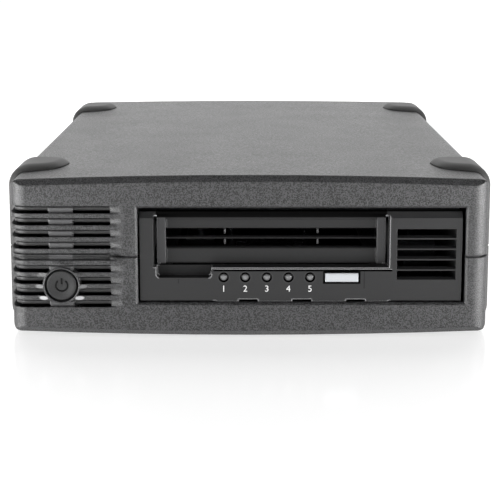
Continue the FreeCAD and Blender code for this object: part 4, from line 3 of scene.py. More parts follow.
import bmesh
import bpy
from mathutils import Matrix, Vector


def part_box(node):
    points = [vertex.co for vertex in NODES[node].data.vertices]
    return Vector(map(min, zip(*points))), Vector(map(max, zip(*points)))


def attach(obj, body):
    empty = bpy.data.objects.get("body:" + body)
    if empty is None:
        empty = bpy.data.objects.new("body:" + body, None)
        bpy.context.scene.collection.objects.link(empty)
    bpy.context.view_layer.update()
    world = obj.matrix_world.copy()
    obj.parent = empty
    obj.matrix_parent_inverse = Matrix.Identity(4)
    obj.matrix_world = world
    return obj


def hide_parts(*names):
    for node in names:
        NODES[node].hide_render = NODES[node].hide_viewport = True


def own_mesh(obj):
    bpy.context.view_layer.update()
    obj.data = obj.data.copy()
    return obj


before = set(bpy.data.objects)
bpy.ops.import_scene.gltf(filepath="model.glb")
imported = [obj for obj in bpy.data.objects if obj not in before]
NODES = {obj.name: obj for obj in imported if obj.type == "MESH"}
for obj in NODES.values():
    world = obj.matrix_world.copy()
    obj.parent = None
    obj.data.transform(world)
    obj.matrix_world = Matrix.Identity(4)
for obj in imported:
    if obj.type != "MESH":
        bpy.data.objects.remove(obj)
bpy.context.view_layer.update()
MM = 0.001
FRONT = (0.0, -1.0, 0.0)
UP = (0.0, 0.0, 1.0)

# Camera, from the photograph's perspective
CAMERA_PLACE = (0.0, -0.7326, 0.1792)
CAMERA_PITCH = 8.85           # degrees below level
CAMERA_FOCAL_PX = 1303.9
CAMERA_SHIFT = (0.0006, -0.2)
CAMERA_CLIP = (0.01, 50.0)
IMAGE_SIZE = 500
SENSOR = 36.0

# Stage and light
WHITE = (1.0, 1.0, 1.0, 1.0)
FLOOR_RADIUS = 1.4
FLOOR_SEGMENTS = 96
FLOOR_FADE = 0.6              # radius where the glow starts to rise
FLOOR_GLOW = 0.55             # glow inside that radius; it is 1 at the rim
FLOOR_PAPER = (0.85, 0.85, 0.85)
BACKDROP = 1.05
SKY_LOW = 0.5                 # strength at the horizon
SKY_HIGH = 0.1                # strength overhead
SKY_FADE = 0.6                # height, as a part of the sky's radius, where it is at its darkest
SKY_FRONT = 0.25              # share of that strength in front of the object
# Name, place, target, width, height and power of each lamp
LAMPS = (
    ("top_light", (0.0, 0.7, 1.35), (0.0, 0.1, 0.0), 2.0, 1.0, 9.0),
    ("back_light", (0.0, 1.6, 0.7), (0.0, 0.1, 0.04), 3.0, 1.3, 13.5),
    ("left_light", (-0.54, -0.4, 0.072), (-0.105, -0.147, 0.06), 0.47, 0.14, 4.3),
    ("right_light", (0.54, -0.4, 0.072), (0.105, -0.147, 0.06), 0.47, 0.14, 4.3),
)

# Colours, linear
CASE = (0.0265, 0.0265, 0.0276)
CASE_EDGE_HIGHLIGHT = (0.1, 0.1, 0.103)
TOP_DARK = (0.004, 0.004, 0.0042)
TOP_LIGHT = (0.085, 0.085, 0.0885)
GROOVE_SHADE = (0.008, 0.008, 0.0083)
BRIDGE_LIT = (0.055, 0.055, 0.057)
RUBBER = (0.05, 0.0495, 0.049)
RUBBER_RIM_SHADE = (0.008, 0.008, 0.008)
BUTTON = (0.022, 0.022, 0.0225)
BUTTON_EDGE_HIGHLIGHT = (0.12, 0.12, 0.12)
BEZEL = (0.016, 0.016, 0.0166)
BEZEL_EDGE_HIGHLIGHT = (0.5, 0.5, 0.51)
SOCKET_RIM_HIGHLIGHT = (0.04, 0.04, 0.041)
DOOR = (0.011, 0.011, 0.0114)
DOOR_EDGE_HIGHLIGHT = (0.8, 0.8, 0.81)
# lighter plastic of the door's end strips, made lighter still as painted light
STRIP_TONE_AND_LIGHT = (0.06, 0.06, 0.062)
BLACK = (0.004, 0.004, 0.004)
EJECT = (0.48, 0.495, 0.515)
LENS = (0.19, 0.19, 0.194)
LENS_RIM = (0.05, 0.05, 0.051)
PRINT = (0.7, 0.7, 0.7)
BOARD = (0.02, 0.11, 0.055)
CHIP = (0.012, 0.012, 0.013)
ALUMINIUM = (0.6, 0.61, 0.62)

# Texture that several finishes share
MOTTLE_SCALE = 40.0           # broad mottling, per metre
MOTTLE_GLOSS = 0.05           # how far it changes the roughness
GRAIN_DETAIL = 3.0
GRAIN_ROUGHNESS = 0.6
STREAKS = (900.0, 40.0, 900.0)
CAST_GRAIN = (500.0, 500.0, 500.0)
STREAK_SPREAD = 0.12          # shades about the metal's colour
STREAK_CONTRAST = 0.2
STREAK_GLOSS = (-0.06, 0.08)  # how far the streaks change the roughness
STREAK_HEIGHT = 0.03 * MM
STREAK_STRENGTH = 0.4
EDGE_SAMPLES = 6
EDGE_START = 0.97             # cosine between the flat and the rounded normal where an edge begins
EDGE_FULL = 0.75              # and where it has its full colour
MASK_EDGE = 0.1 * MM          # softness of painted outlines
FINE_EDGE = 0.05 * MM

# Case: louvres in the left of the face, with run-outs and bridges
CASE_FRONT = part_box("upper_shell")[0].y
CASE_ROUND = 1.0 * MM
# strength of the painted highlight on the case's edges
CASE_HIGHLIGHT_GAIN = 0.5
LOUVRE_FOOT = 12.0 * MM
LOUVRE_HEAD = 64.0 * MM
LOUVRE_LIP = 0.4 * MM         # depth where the painted shade of a groove begins
LOUVRE_DEPTH = 4.0 * MM
RUNOUT_START = -63.82 * MM
RUNOUT_LENGTH = 5.1 * MM
RUNOUT_SOFT = 2.5 * MM
RUNOUT_DEPTH = 6.0 * MM
# Bridges across the grooves, painted lighter as painted light
BRIDGE_LEFT = -92.1 * MM
BRIDGE_RIGHT = -81.3 * MM
FACES_FRONT = (0.5, 0.6)      # cosines where a surface begins to face the front, and where it does
FACES_UP = (0.9, 0.97)
TOP_GRAIN = 1.1               # mm
TOP_DARK_RANGE = (0.49, 0.44)  # noise where the dark specks begin, and where they are full
TOP_LIGHT_RANGE = (0.51, 0.56)
RUBBER_ROUND = 1.4 * MM
RUBBER_SHADE = 0.9

# Power button and the mound round it
power_low, power_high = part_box("power_button")
POWER_X = (power_low.x + power_high.x) / 2
POWER_Z = (power_low.z + power_high.z) / 2
POWER_FACE = power_low.y
BUTTON_ROUND = 0.3 * MM
BUTTON_HIGHLIGHT_GAIN = 0.4
DISH = 0.5 * MM               # depth of the hollow face at its middle
DISH_SLOPE = 0.0359           # rise of the face per unit of radius
WIRE_RESOLUTION = 3
COIL_WIRE = 0.7 * MM
COIL_TURNS = 4
COIL_STEPS = 24               # per turn
SYMBOL_RADIUS = 2.7 * MM
SYMBOL_STROKE = 0.42 * MM     # half the stroke's width
SYMBOL_ANGLES = range(40, 321, 10)
SYMBOL_BAR = (0.6 * MM, 2.0 * MM, 3.4 * MM)
MOUND_SKIN = 0.02 * MM
HIGHLIGHT_CORE = 0.75              # part of a painted highlight that has its full colour
# Distance from the button's axis, drop below it, half width, half height and colour of each pair of
# painted highlights
MOUND_HIGHLIGHTS = (
    (8.3 * MM, 5.9 * MM, 2.3 * MM, 1.05 * MM, (0.42, 0.42, 0.43)),
    (10.0 * MM, 0.45 * MM, 1.9 * MM, 0.95 * MM, (0.13, 0.13, 0.134)),
)

# Bezel and door; boxes on the bezel's front are left, foot, right and head in mm
bezel_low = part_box("drive_bezel")[0]
door_low, door_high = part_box("cartridge_door")
BEZEL_ROUND = 0.2 * MM
BRIGHT_ROUND = 1.2 * MM       # wider rounding where an edge catches the light
# Boxes whose edges get a painted highlight and the wider rounding
HIGHLIGHT_EDGES = (
    (-17.6, 32.5, 65.7, 34.0),
    (63.0, 33.0, 65.7, 57.6),
    (-45.0, 27.2, -41.8, 33.4),
    (-19.0, 27.2, -16.3, 30.4),
    (-17.0, 17.5, 65.0, 19.0),
)
# Faint moulding lines
MARKS = (
    (52.6, 23.6, 52.95, 31.6),
    (-33.0, 26.0, -32.65, 28.0),
)
MARK_SHADE = 0.4
# Groove under the lip, which gets painted shade
GROOVE_BOX = (-16.8, 31.65, 65.6, 32.45)
# the rail above the mouth gets painted shade from this height up
RAIL_FOOT = 57.6 * MM
# Finger notch, which gets painted shade
NOTCH_RIGHT = door_low.x + 25.4 * MM
NOTCH_HEIGHT = 4.8 * MM
NOTCH_LIP = 0.2 * MM
NOTCH_DEPTH = 0.6 * MM
NOTCH_SHADE = 0.45
DOOR_MIDDLE = (door_low.x + door_high.x) / 2
DOOR_HALF = (door_high.x - door_low.x) / 2
DOOR_STRIP = 4.2 * MM
# half width of the painted shade on the step between the door's panel and strips
DOOR_STEP_SHADE = 0.1 * MM
# width of the painted highlight on the door's outer edges
DOOR_RIM = 1.5 * MM
DOOR_ROUND = 1.2 * MM
# The door gets painted shade from this far below its top, fading in over KNUCKLE_FADE
KNUCKLE = 2.9 * MM
KNUCKLE_FADE = 0.6 * MM

# Status lights and eject button
pipe_low, pipe_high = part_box("status_light_pipe")
eject_low, eject_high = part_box("eject_button")
LIGHT_PITCH = 9.95 * MM
LIGHT_X = [(pipe_low.x + pipe_high.x) / 2 + place * LIGHT_PITCH for place in (-2, -1, 0, 1, 2)]
LIGHT_Z = (pipe_low.z + pipe_high.z) / 2
LENS_RADIUS = 1.45 * MM
LENS_CORE = 0.5 * MM
LENS_RISE = 0.5 * MM
LENS_RINGS = 6
LENS_SIDES = 24
# the socket gets painted shade inside this radius, and a ring of painted highlight SOCKET_WIDTH wide
# outside it
SOCKET_RADIUS = 2.4 * MM
SOCKET_WIDTH = 0.5 * MM
NUMBER_DROP = 5.5 * MM
NUMBER_SIZE = 4.2 * MM
PRINT_THICKNESS = 0.04 * MM
EJECT_X = (eject_low.x + eject_high.x) / 2
# half width and half height of the painted shade round the eject button
EJECT_FRAME_X = 8.6 * MM
EJECT_FRAME_Z = 3.05 * MM
EJECT_WHITE = 0.55 * MM       # depth of the white front
EJECT_DARK = 0.75 * MM        # depth where the painted shade on the flange begins

# Parts inside and behind
CHIP_HEIGHT = 1.8 * MM
CHIP_START = 0.02 * MM
PLAIN_HEIGHT = 0.01 * MM
# Material, colour, roughness and nodes
METALS = (
    ("sheet_steel", (0.55, 0.56, 0.57), 0.35,
     ("drive_top_cover", "rear_panel", "lift_slider", "voice_coil_yoke")),
    ("dark_steel", (0.1, 0.1, 0.105), 0.45,
     ("drive_chassis",)),
    ("bright_steel", (0.62, 0.63, 0.64), 0.25,
     ("door_hinge_pin", "carriage_guide_rods", "head_guide_rod", "power_button_spring", "fan_guard",
      "case_screws", "drive_screws", "supply_screws", "rear_panel_screws", "fan_screws")),
    ("plated_shell", (0.66, 0.67, 0.68), 0.25,
     ("data_port",)),
    ("contact_brass", (0.65, 0.47, 0.18), 0.28,
     ("inlet_pins",)),
)
# Material, colour, roughness, grain in mm, spread of its shades and nodes
PLASTICS = (
    ("black_plastic", (0.022, 0.022, 0.024), 0.45, 0.4, 0.15,
     ("power_switch", "drive_connectors", "supply_plugs", "mains_inlet", "fan_frame", "fan_rotor",
      "supply_capacitors")),
    ("white_plastic", (0.62, 0.61, 0.58), 0.4, 0.4, 0.05,
     ("load_pinion", "guide_roller_1", "guide_roller_2", "guide_roller_3", "guide_roller_4")),
    ("grey_plastic", (0.02, 0.02, 0.021), 0.5, 0.4, 0.1,
     ("cartridge_carriage", "supply_chuck", "takeup_reel")),
    ("motor_steel", (0.07, 0.07, 0.075), 0.4, 0.5, 0.12,
     ("supply_motor", "takeup_motor", "load_gearmotor", "supply_transformer")),
    ("cable_sheath", (0.03, 0.03, 0.032), 0.5, 0.4, 0.1,
     ("data_cable", "drive_power_cable", "mains_wiring")),
)


# Helpers for materials

def node_material(name):
    """A new material with its node tree and shader."""
    material = bpy.data.materials.new(name)
    material.use_nodes = True
    return material, material.node_tree, material.node_tree.nodes["Principled BSDF"]


def add(tree, kind, **values):
    """A node of this kind; keyword names are properties, and a dict called inputs sets sockets."""
    node = tree.nodes.new(kind)
    inputs = values.pop("inputs", {})
    for key, value in values.items():
        setattr(node, key, value)
    for key, value in inputs.items():
        node.inputs[key].default_value = value
    return node


def link(tree, source, target):
    """One node's output into another's input."""
    tree.links.new(source, target)


def feed(tree, value, target):
    """A number, a colour or another node's output into a socket."""
    if isinstance(value, bpy.types.NodeSocket):
        link(tree, value, target)
    elif isinstance(value, tuple):
        target.default_value = (*value, 1.0)
    else:
        target.default_value = value


def object_coordinates(tree):
    """The point, in metres in the shared frame."""
    return add(tree, "ShaderNodeTexCoord").outputs["Object"]


def split(tree, vector):
    """X, Y and Z of a vector."""
    node = add(tree, "ShaderNodeSeparateXYZ")
    link(tree, vector, node.inputs["Vector"])
    return node.outputs["X"], node.outputs["Y"], node.outputs["Z"]


def axes(tree):
    """X, Y and Z of the point."""
    return split(tree, object_coordinates(tree))


def calc(tree, operation, first, second=0.0):
    """One operation of arithmetic on numbers or sockets."""
    node = add(tree, "ShaderNodeMath", operation=operation)
    feed(tree, first, node.inputs[0])
    feed(tree, second, node.inputs[1])
    return node.outputs["Value"]


def both(tree, first, second):
    """1 where both masks are 1."""
    return calc(tree, "MULTIPLY", first, second)


def step(tree, value, start, end):
    """0 at start and 1 at end, clamped; start may be the greater."""
    node = add(tree, "ShaderNodeMapRange", inputs={"From Min": start, "From Max": end})
    link(tree, value, node.inputs["Value"])
    return node.outputs["Result"]


def between(tree, factor, start, end):
    """A number that goes from start to end as the factor goes from 0 to 1."""
    node = add(tree, "ShaderNodeMapRange", inputs={"To Min": start, "To Max": end})
    link(tree, factor, node.inputs["Value"])
    return node.outputs["Result"]


def distance_along(tree, value, middle):
    """Distance of a coordinate from a middle, on either side."""
    return calc(tree, "ABSOLUTE", calc(tree, "SUBTRACT", value, middle))


def radius_from(tree, first, second, middle):
    """Distance of the point from an axis, in the plane of two of its coordinates."""
    squares = [calc(tree, "POWER", calc(tree, "SUBTRACT", value, centre), 2.0)
               for value, centre in zip((first, second), middle)]
    return calc(tree, "SQRT", calc(tree, "ADD", *squares))


def noise(tree, coordinates, scale, detail=2.0, roughness=0.5):
    """Noise round 0.5, with this many features per unit of the coordinates."""
    values = {"Scale": scale, "Detail": detail, "Roughness": roughness}
    node = add(tree, "ShaderNodeTexNoise", inputs=values)
    link(tree, coordinates, node.inputs["Vector"])
    return node.outputs["Fac"]


def tinted(tree, factor, colour, spread, contrast):
    """Dark to light shades of a colour, as the factor goes from 0.5 - contrast to 0.5 + contrast."""
    node = add(tree, "ShaderNodeValToRGB")
    elements = node.color_ramp.elements
    elements.new(0.5)
    for element, side in zip(elements, (-1, 0, 1)):
        element.position = 0.5 + side * contrast
        element.color = (*[channel * (1 + side * spread) for channel in colour], 1.0)
    link(tree, factor, node.inputs["Fac"])
    return node.outputs["Color"]


def bump(tree, height, strength, distance):
    """Surface normal over these heights."""
    node = add(tree, "ShaderNodeBump", inputs={"Strength": strength, "Distance": distance})
    link(tree, height, node.inputs["Height"])
    return node.outputs["Normal"]


def turned_from(tree, normal, target):
    """Cosine of the angle between the surface's normal and a direction or another normal."""
    dot = add(tree, "ShaderNodeVectorMath", operation="DOT_PRODUCT")
    link(tree, add(tree, "ShaderNodeNewGeometry").outputs[normal], dot.inputs[0])
    if isinstance(target, bpy.types.NodeSocket):
        link(tree, target, dot.inputs[1])
    else:
        dot.inputs[1].default_value = target
    return dot.outputs["Value"]


def facing(tree, direction, start, end):
    """1 where the surface faces this direction, 0 where it faces elsewhere."""
    return step(tree, turned_from(tree, "True Normal", direction), start, end)


def paint(material, mask, colour):
    """Another colour where the mask is 1."""
    tree = material.node_tree
    target = tree.nodes["Principled BSDF"].inputs["Base Color"]
    mix = add(tree, "ShaderNodeMix", data_type="RGBA")
    link(tree, mask, mix.inputs["Factor"])
    link(tree, target.links[0].from_socket, mix.inputs["A"])
    feed(tree, colour, mix.inputs["B"])
    link(tree, mix.outputs["Result"], target)


def round_edges(material, radius, gain, colour):
    """Edges that look rounded, and are painted another colour as far as the gain says; this paints
    highlights and shade along edges.
    """
    tree = material.node_tree
    bevel = add(tree, "ShaderNodeBevel", samples=EDGE_SAMPLES)
    feed(tree, radius, bevel.inputs["Radius"])
    rounded = bevel.outputs["Normal"]
    edge = step(tree, turned_from(tree, "Normal", rounded), EDGE_START, EDGE_FULL)
    paint(material, calc(tree, "MULTIPLY", edge, gain), colour)
    bumped = tree.nodes["Principled BSDF"].inputs["Normal"].links[0].from_node
    link(tree, rounded, bumped.inputs["Normal"])


def blacken(material, mask):
    """Painted shade in a recess, or a dark moulding line: black and without gloss where the mask is 1."""
    tree = material.node_tree
    target = tree.nodes["Principled BSDF"].inputs["Specular IOR Level"]
    level = target.links[0].from_socket if target.links else target.default_value
    link(tree, calc(tree, "MULTIPLY", level, calc(tree, "SUBTRACT", 1.0, mask)), target)
    paint(material, mask, BLACK)


def inside(tree, place, low, high, soft):
    """1 inside a box given by its lowest and highest corner; None leaves a side open."""
    mask = 1.0
    for value, least, most in zip(place, low, high):
        if least is not None:
            mask = both(tree, step(tree, value, least - soft, least), mask)
        if most is not None:
            mask = both(tree, step(tree, value, most + soft, most), mask)
    return mask


def front_box(tree, place, sides, soft=MASK_EDGE):
    """1 inside a box seen from the front: left, foot, right and head in mm."""
    left, foot, right, head = [side * MM for side in sides]
    return inside(tree, place, (left, None, foot), (right, None, head), soft)


def grained(name, colour, roughness, grain, spread, height, specular=0.5, contrast=0.15, sparkle=0.0):
    """Moulded plastic: grain in mm, in shades that spread about the colour, with a height in metres.

    A broad faint mottling changes the roughness, and sparkle lets the grain change it too.
    """
    material, tree, shader = node_material(name)
    place = object_coordinates(tree)
    fine = noise(tree, place, 1.0 / (grain * MM), GRAIN_DETAIL, GRAIN_ROUGHNESS)
    link(tree, tinted(tree, fine, colour, spread, contrast), shader.inputs["Base Color"])
    broad = noise(tree, place, MOTTLE_SCALE)
    gloss = between(tree, broad, roughness - MOTTLE_GLOSS, roughness + MOTTLE_GLOSS)
    if sparkle:
        glitter = calc(tree, "MULTIPLY", calc(tree, "SUBTRACT", fine, 0.5), sparkle)
        gloss = calc(tree, "ADD", gloss, glitter)
    link(tree, gloss, shader.inputs["Roughness"])
    link(tree, bump(tree, fine, 1.0, height), shader.inputs["Normal"])
    shader.inputs["Specular IOR Level"].default_value = specular
    return material


def metal(name, colour, roughness, streaks=STREAKS):
    """Brushed or plated metal; streaks are the grain's features per metre along X, Y and Z."""
    material, tree, shader = node_material(name)
    mapping = add(tree, "ShaderNodeMapping", inputs={"Scale": streaks})
    link(tree, object_coordinates(tree), mapping.inputs["Vector"])
    lines = noise(tree, mapping.outputs["Vector"], 1.0, GRAIN_DETAIL)
    base = tinted(tree, lines, colour, STREAK_SPREAD, STREAK_CONTRAST)
    link(tree, base, shader.inputs["Base Color"])
    smooth, rough = [roughness + change for change in STREAK_GLOSS]
    link(tree, between(tree, lines, smooth, rough), shader.inputs["Roughness"])
    link(tree, bump(tree, lines, STREAK_STRENGTH, STREAK_HEIGHT), shader.inputs["Normal"])
    shader.inputs["Metallic"].default_value = 1.0
    return material


def assign(material, *names):
    """One material for these CAD nodes."""
    for name in names:
        mesh = NODES[name].data
        mesh.materials.clear()
        mesh.materials.append(material)


# Materials of the outside

def case_plastic():
    """Grained dark plastic; painted highlights on edges and mound, painted shade in grooves, painted
    light on bridges; the louvres run out softly into the face.
    """
    material = grained("case_plastic", CASE, roughness=0.42, grain=0.52, spread=1.0, height=0.2 * MM,
                       specular=0.7, contrast=0.03, sparkle=0.5)
    tree = material.node_tree
    place = axes(tree)
    runout = inside(tree, place, (RUNOUT_START + RUNOUT_SOFT, CASE_FRONT, LOUVRE_FOOT),
                    (RUNOUT_START + RUNOUT_LENGTH, CASE_FRONT + RUNOUT_DEPTH, LOUVRE_HEAD), RUNOUT_SOFT)
    radius = between(tree, runout, CASE_ROUND, CASE_ROUND + RUNOUT_SOFT)
    # painted highlight along the case's edges, none on the run-outs
    round_edges(material, radius, between(tree, runout, CASE_HIGHLIGHT_GAIN, 0.0), CASE_EDGE_HIGHLIGHT)
    front = facing(tree, FRONT, *FACES_FRONT)
    # painted shade in the louvre grooves, and painted light on the bridges
    for left, right, colour in ((None, RUNOUT_START, GROOVE_SHADE), (BRIDGE_LEFT, BRIDGE_RIGHT, BRIDGE_LIT)):
        within = inside(tree, place, (left, CASE_FRONT + LOUVRE_LIP, LOUVRE_FOOT),
                        (right, CASE_FRONT + LOUVRE_DEPTH, LOUVRE_HEAD), MASK_EDGE)
        paint(material, both(tree, within, front), colour)
    paint_top(material)
    paint_mound(material)
    return material


def paint_top(material):
    """Coarser speckle on the surfaces that face up."""
    tree = material.node_tree
    up = facing(tree, UP, *FACES_UP)
    coarse = noise(tree, object_coordinates(tree), 1.0 / (TOP_GRAIN * MM), roughness=GRAIN_ROUGHNESS)
    paint(material, both(tree, up, step(tree, coarse, *TOP_DARK_RANGE)), TOP_DARK)
    paint(material, both(tree, up, step(tree, coarse, *TOP_LIGHT_RANGE)), TOP_LIGHT)


def paint_mound(material):
    """Painted highlights, pale spots, where the ribs end on the mound round the power button."""
    tree = material.node_tree
    x, y, z = axes(tree)
    proud = step(tree, y, CASE_FRONT + MOUND_SKIN, CASE_FRONT - MOUND_SKIN)
    across = distance_along(tree, x, POWER_X)
    for reach, drop, half_width, half_height, colour in MOUND_HIGHLIGHTS:
        wide = calc(tree, "DIVIDE", calc(tree, "SUBTRACT", across, reach), half_width)
        tall = calc(tree, "DIVIDE", calc(tree, "SUBTRACT", z, POWER_Z - drop), half_height)
        distance = radius_from(tree, wide, tall, (0.0, 0.0))
        paint(material, both(tree, step(tree, distance, 1.0, HIGHLIGHT_CORE), proud), colour)


def bumper_rubber():
    """Soft grey rubber with painted shade on its rim, where it meets the case."""
    material = grained("bumper_rubber", RUBBER, roughness=0.5, grain=0.4, spread=0.15,
                       height=0.02 * MM, specular=0.45)
    round_edges(material, RUBBER_ROUND, RUBBER_SHADE, RUBBER_RIM_SHADE)
    return material


def button_plastic():
    """Dark plastic of the power button, with a painted highlight on its edge."""
    material = grained("button_plastic", BUTTON, roughness=0.45, grain=0.6, spread=0.25, height=0.05 * MM)
    round_edges(material, BUTTON_ROUND, BUTTON_HIGHLIGHT_GAIN, BUTTON_EDGE_HIGHLIGHT)
    return material


def bezel_plastic():
    """Satin dark plastic: painted highlights on edges round the mouth and round each socket, painted
    shade in the sockets, gaps, rail and finger notch, and faint dark moulding lines.
    """
    material = grained("bezel_plastic", BEZEL, roughness=0.42, grain=0.5, spread=0.15, height=0.02 * MM)
    tree = material.node_tree
    place = axes(tree)
    # painted highlight on the edges inside those boxes
    edge_highlight = 0.0
    for sides in HIGHLIGHT_EDGES:
        edge_highlight = calc(tree, "MAXIMUM", front_box(tree, place, sides), edge_highlight)
    round_edges(material, between(tree, edge_highlight, BEZEL_ROUND, BRIGHT_ROUND), edge_highlight, BEZEL_EDGE_HIGHLIGHT)
    # painted shade in the finger notch
    notch = inside(tree, place, (door_low.x, bezel_low.y + NOTCH_DEPTH, door_low.z - NOTCH_HEIGHT),
                   (NOTCH_RIGHT, None, door_low.z + NOTCH_LIP), MASK_EDGE)
    blacken(material, calc(tree, "MULTIPLY", notch, NOTCH_SHADE))
    for sides in MARKS:
        blacken(material, calc(tree, "MULTIPLY", front_box(tree, place, sides), MARK_SHADE))
    near = light_distance(tree, place)
    # painted highlight ring round each light's socket
    paint(material, step(tree, near, SOCKET_RADIUS + SOCKET_WIDTH, SOCKET_RADIUS), SOCKET_RIM_HIGHLIGHT)
    # painted shade, black, inside each light's socket
    blacken(material, step(tree, near, SOCKET_RADIUS + FINE_EDGE, SOCKET_RADIUS))
    # painted shade in the groove under the lip
    blacken(material, front_box(tree, place, GROOVE_BOX, FINE_EDGE))
    # painted shade in the gap round the eject button
    frame_low = (EJECT_X - EJECT_FRAME_X, None, LIGHT_Z - EJECT_FRAME_Z)
    frame_high = (EJECT_X + EJECT_FRAME_X, None, LIGHT_Z + EJECT_FRAME_Z)
    blacken(material, inside(tree, place, frame_low, frame_high, FINE_EDGE))
    # painted shade on the rail above the mouth
    rail = inside(tree, place, (door_low.x, None, RAIL_FOOT), (door_high.x, None, None), MASK_EDGE)
    blacken(material, rail)
    return material


def light_distance(tree, place):
    """Distance from the nearest status light's axis."""
    distances = [radius_from(tree, place[0], place[2], (light_x, LIGHT_Z)) for light_x in LIGHT_X]
    nearest = distances[0]
    for distance in distances[1:]:
        nearest = calc(tree, "MINIMUM", nearest, distance)
    return nearest


def door_plastic():
    """The bezel's plastic: lighter end strips, partly their own tone and partly painted light; painted
    shade at the hinge and on the panel's step; painted highlights on the outer edges.
    """
    material = grained("door_plastic", DOOR, roughness=0.42, grain=0.5, spread=0.15, height=0.02 * MM)
    tree = material.node_tree
    place = axes(tree)
    offset = distance_along(tree, place[0], DOOR_MIDDLE)
    panel = DOOR_HALF - DOOR_STRIP
    # lighter end strips: their own tone, raised further as painted light
    paint(material, step(tree, offset, panel - FINE_EDGE, panel + FINE_EDGE), STRIP_TONE_AND_LIGHT)
    # painted shade on the step between panel and strips
    step_distance = distance_along(tree, offset, panel)
    blacken(material, step(tree, step_distance, DOOR_STEP_SHADE + FINE_EDGE, DOOR_STEP_SHADE))
    # painted highlight on the door's outer edges
    rim = step(tree, offset, DOOR_HALF - DOOR_RIM - MASK_EDGE, DOOR_HALF - DOOR_RIM)
    round_edges(material, DOOR_ROUND, rim, DOOR_EDGE_HIGHLIGHT)
    # painted shade at the hinge, black towards the door's top
    knuckle = door_high.z - KNUCKLE
    blacken(material, step(tree, place[2], knuckle, knuckle + KNUCKLE_FADE))
    return material


def eject_plastic():
    """White front; the flange and sides are painted black as shade in the gap round the button."""
    material = grained("eject_plastic", EJECT, roughness=0.3, grain=0.6, spread=0.03, height=0.005 * MM)
    tree = material.node_tree
    # painted shade on the flange and sides
    flange = step(tree, axes(tree)[1], eject_low.y + EJECT_WHITE, eject_low.y + EJECT_DARK)
    paint(material, flange, BLACK)
    return material


def light_lens():
    """Clear pipe: grey within each lens, with painted shade, black, round it in the socket."""
    material = grained("light_lens", LENS, roughness=0.2, grain=0.5, spread=0.1, height=0.005 * MM)
    tree = material.node_tree
    near = light_distance(tree, axes(tree))
    # painted shade round each lens
    paint(material, step(tree, near, LENS_RADIUS - FINE_EDGE, LENS_RADIUS + FINE_EDGE), BLACK)
    return material


def circuit_board():
    """Green boards; the chips on the main board are black."""
    material = grained("circuit_board", BOARD, roughness=0.4, grain=1.5, spread=0.15, height=PLAIN_HEIGHT)
    tree = material.node_tree
    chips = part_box("main_board")[1].z - CHIP_HEIGHT
    paint(material, step(tree, axes(tree)[2], chips + CHIP_START, chips + FINE_EDGE), CHIP)
    return material


def dress_nodes():
    """A material for every CAD node."""
    assign(case_plastic(), "upper_shell", "lower_shell")
    assign(bumper_rubber(), *[name for name in NODES if "bumper" in name])
    assign(button_plastic(), "power_button")
    assign(bezel_plastic(), "drive_bezel")
    assign(door_plastic(), "cartridge_door")
    assign(eject_plastic(), "eject_button")
    assign(light_lens(), "status_light_pipe")
    assign(circuit_board(), "front_board", "main_board", "supply_board")
    cast = metal("cast_aluminium", ALUMINIUM, 0.4, CAST_GRAIN)
    assign(cast, "tape_guide_base", "supply_heat_sinks", "head_carriage")
    for name, colour, roughness, nodes in METALS:
        assign(metal(name, colour, roughness), *nodes)
    for name, colour, roughness, grain, spread, nodes in PLASTICS:
        assign(grained(name, colour, roughness, grain, spread, PLAIN_HEIGHT), *nodes)


# Pieces added to the solids

def show(name, data):
    """A new object in the scene."""
    made = bpy.data.objects.new(name, data)
    bpy.context.collection.objects.link(made)
    return made


def add_piece(name, data, material, body, place=(0.0, 0.0, 0.0), turn=(0.0, 0.0, 0.0)):
    """A piece with one material, put in its place and riding on a body."""
    data.materials.append(material)
    piece = show(name, data)
    piece.location = place
    piece.rotation_euler = turn
    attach(piece, body)
    return piece


def to_mesh(data):
    """The mesh of a curve or text."""
    carrier = bpy.data.objects.new(data.name, data)
    mesh = bpy.data.meshes.new_from_object(carrier)
    bpy.data.objects.remove(carrier)
    return mesh


def round_wire(name, radius, runs):
    """A curve of round section through each run of points."""
    data = bpy.data.curves.new(name, "CURVE")
    data.dimensions = "3D"
    data.bevel_depth = radius
    data.bevel_resolution = WIRE_RESOLUTION
    data.use_fill_caps = True
    for points in runs:
        spline = data.splines.new("POLY")
        spline.points.add(len(points) - 1)
        for point, place in zip(spline.points, points):
            point.co = (*place, 1.0)
    return data


def dome(name, x, y, z):
    """Mesh of a low round dome that rises to the front from this middle."""
    shape = bmesh.new()
    turns = [2 * math.pi * part / LENS_SIDES for part in range(LENS_SIDES)]
    rows = []
    for ring in range(LENS_RINGS):
        angle = math.pi / 2 * ring / LENS_RINGS
        radius = LENS_RADIUS * math.cos(angle)
        front = y - LENS_RISE * math.sin(angle)
        points = [(x + radius * math.cos(turn), front, z + radius * math.sin(turn)) for turn in turns]
        rows.append([shape.verts.new(point) for point in points])
    tip = shape.verts.new((x, y - LENS_RISE, z))
    neighbours = [(part, (part + 1) % LENS_SIDES) for part in range(LENS_SIDES)]
    for row, following in zip(rows, rows[1:]):
        for part, after in neighbours:
            shape.faces.new((row[part], row[after], following[after], following[part]))
    for part, after in neighbours:
        shape.faces.new((rows[-1][part], rows[-1][after], tip))
    for face in shape.faces:
        face.smooth = True
    mesh = bpy.data.meshes.new(name)
    shape.to_mesh(mesh)
    shape.free()
    return mesh


def lens_domes():
    """A low clear dome on each status light."""
    material = grained("lens_dome", LENS, roughness=0.12, grain=0.8, spread=0.12, height=PLAIN_HEIGHT)
    tree = material.node_tree
    near = light_distance(tree, axes(tree))
    paint(material, step(tree, near, LENS_CORE, LENS_RADIUS), LENS_RIM)
    for index, light_x in enumerate(LIGHT_X, 1):
        name = f"status_lens_{index}"
        add_piece(name, dome(name, light_x, pipe_low.y, LIGHT_Z), material, "enclosure")


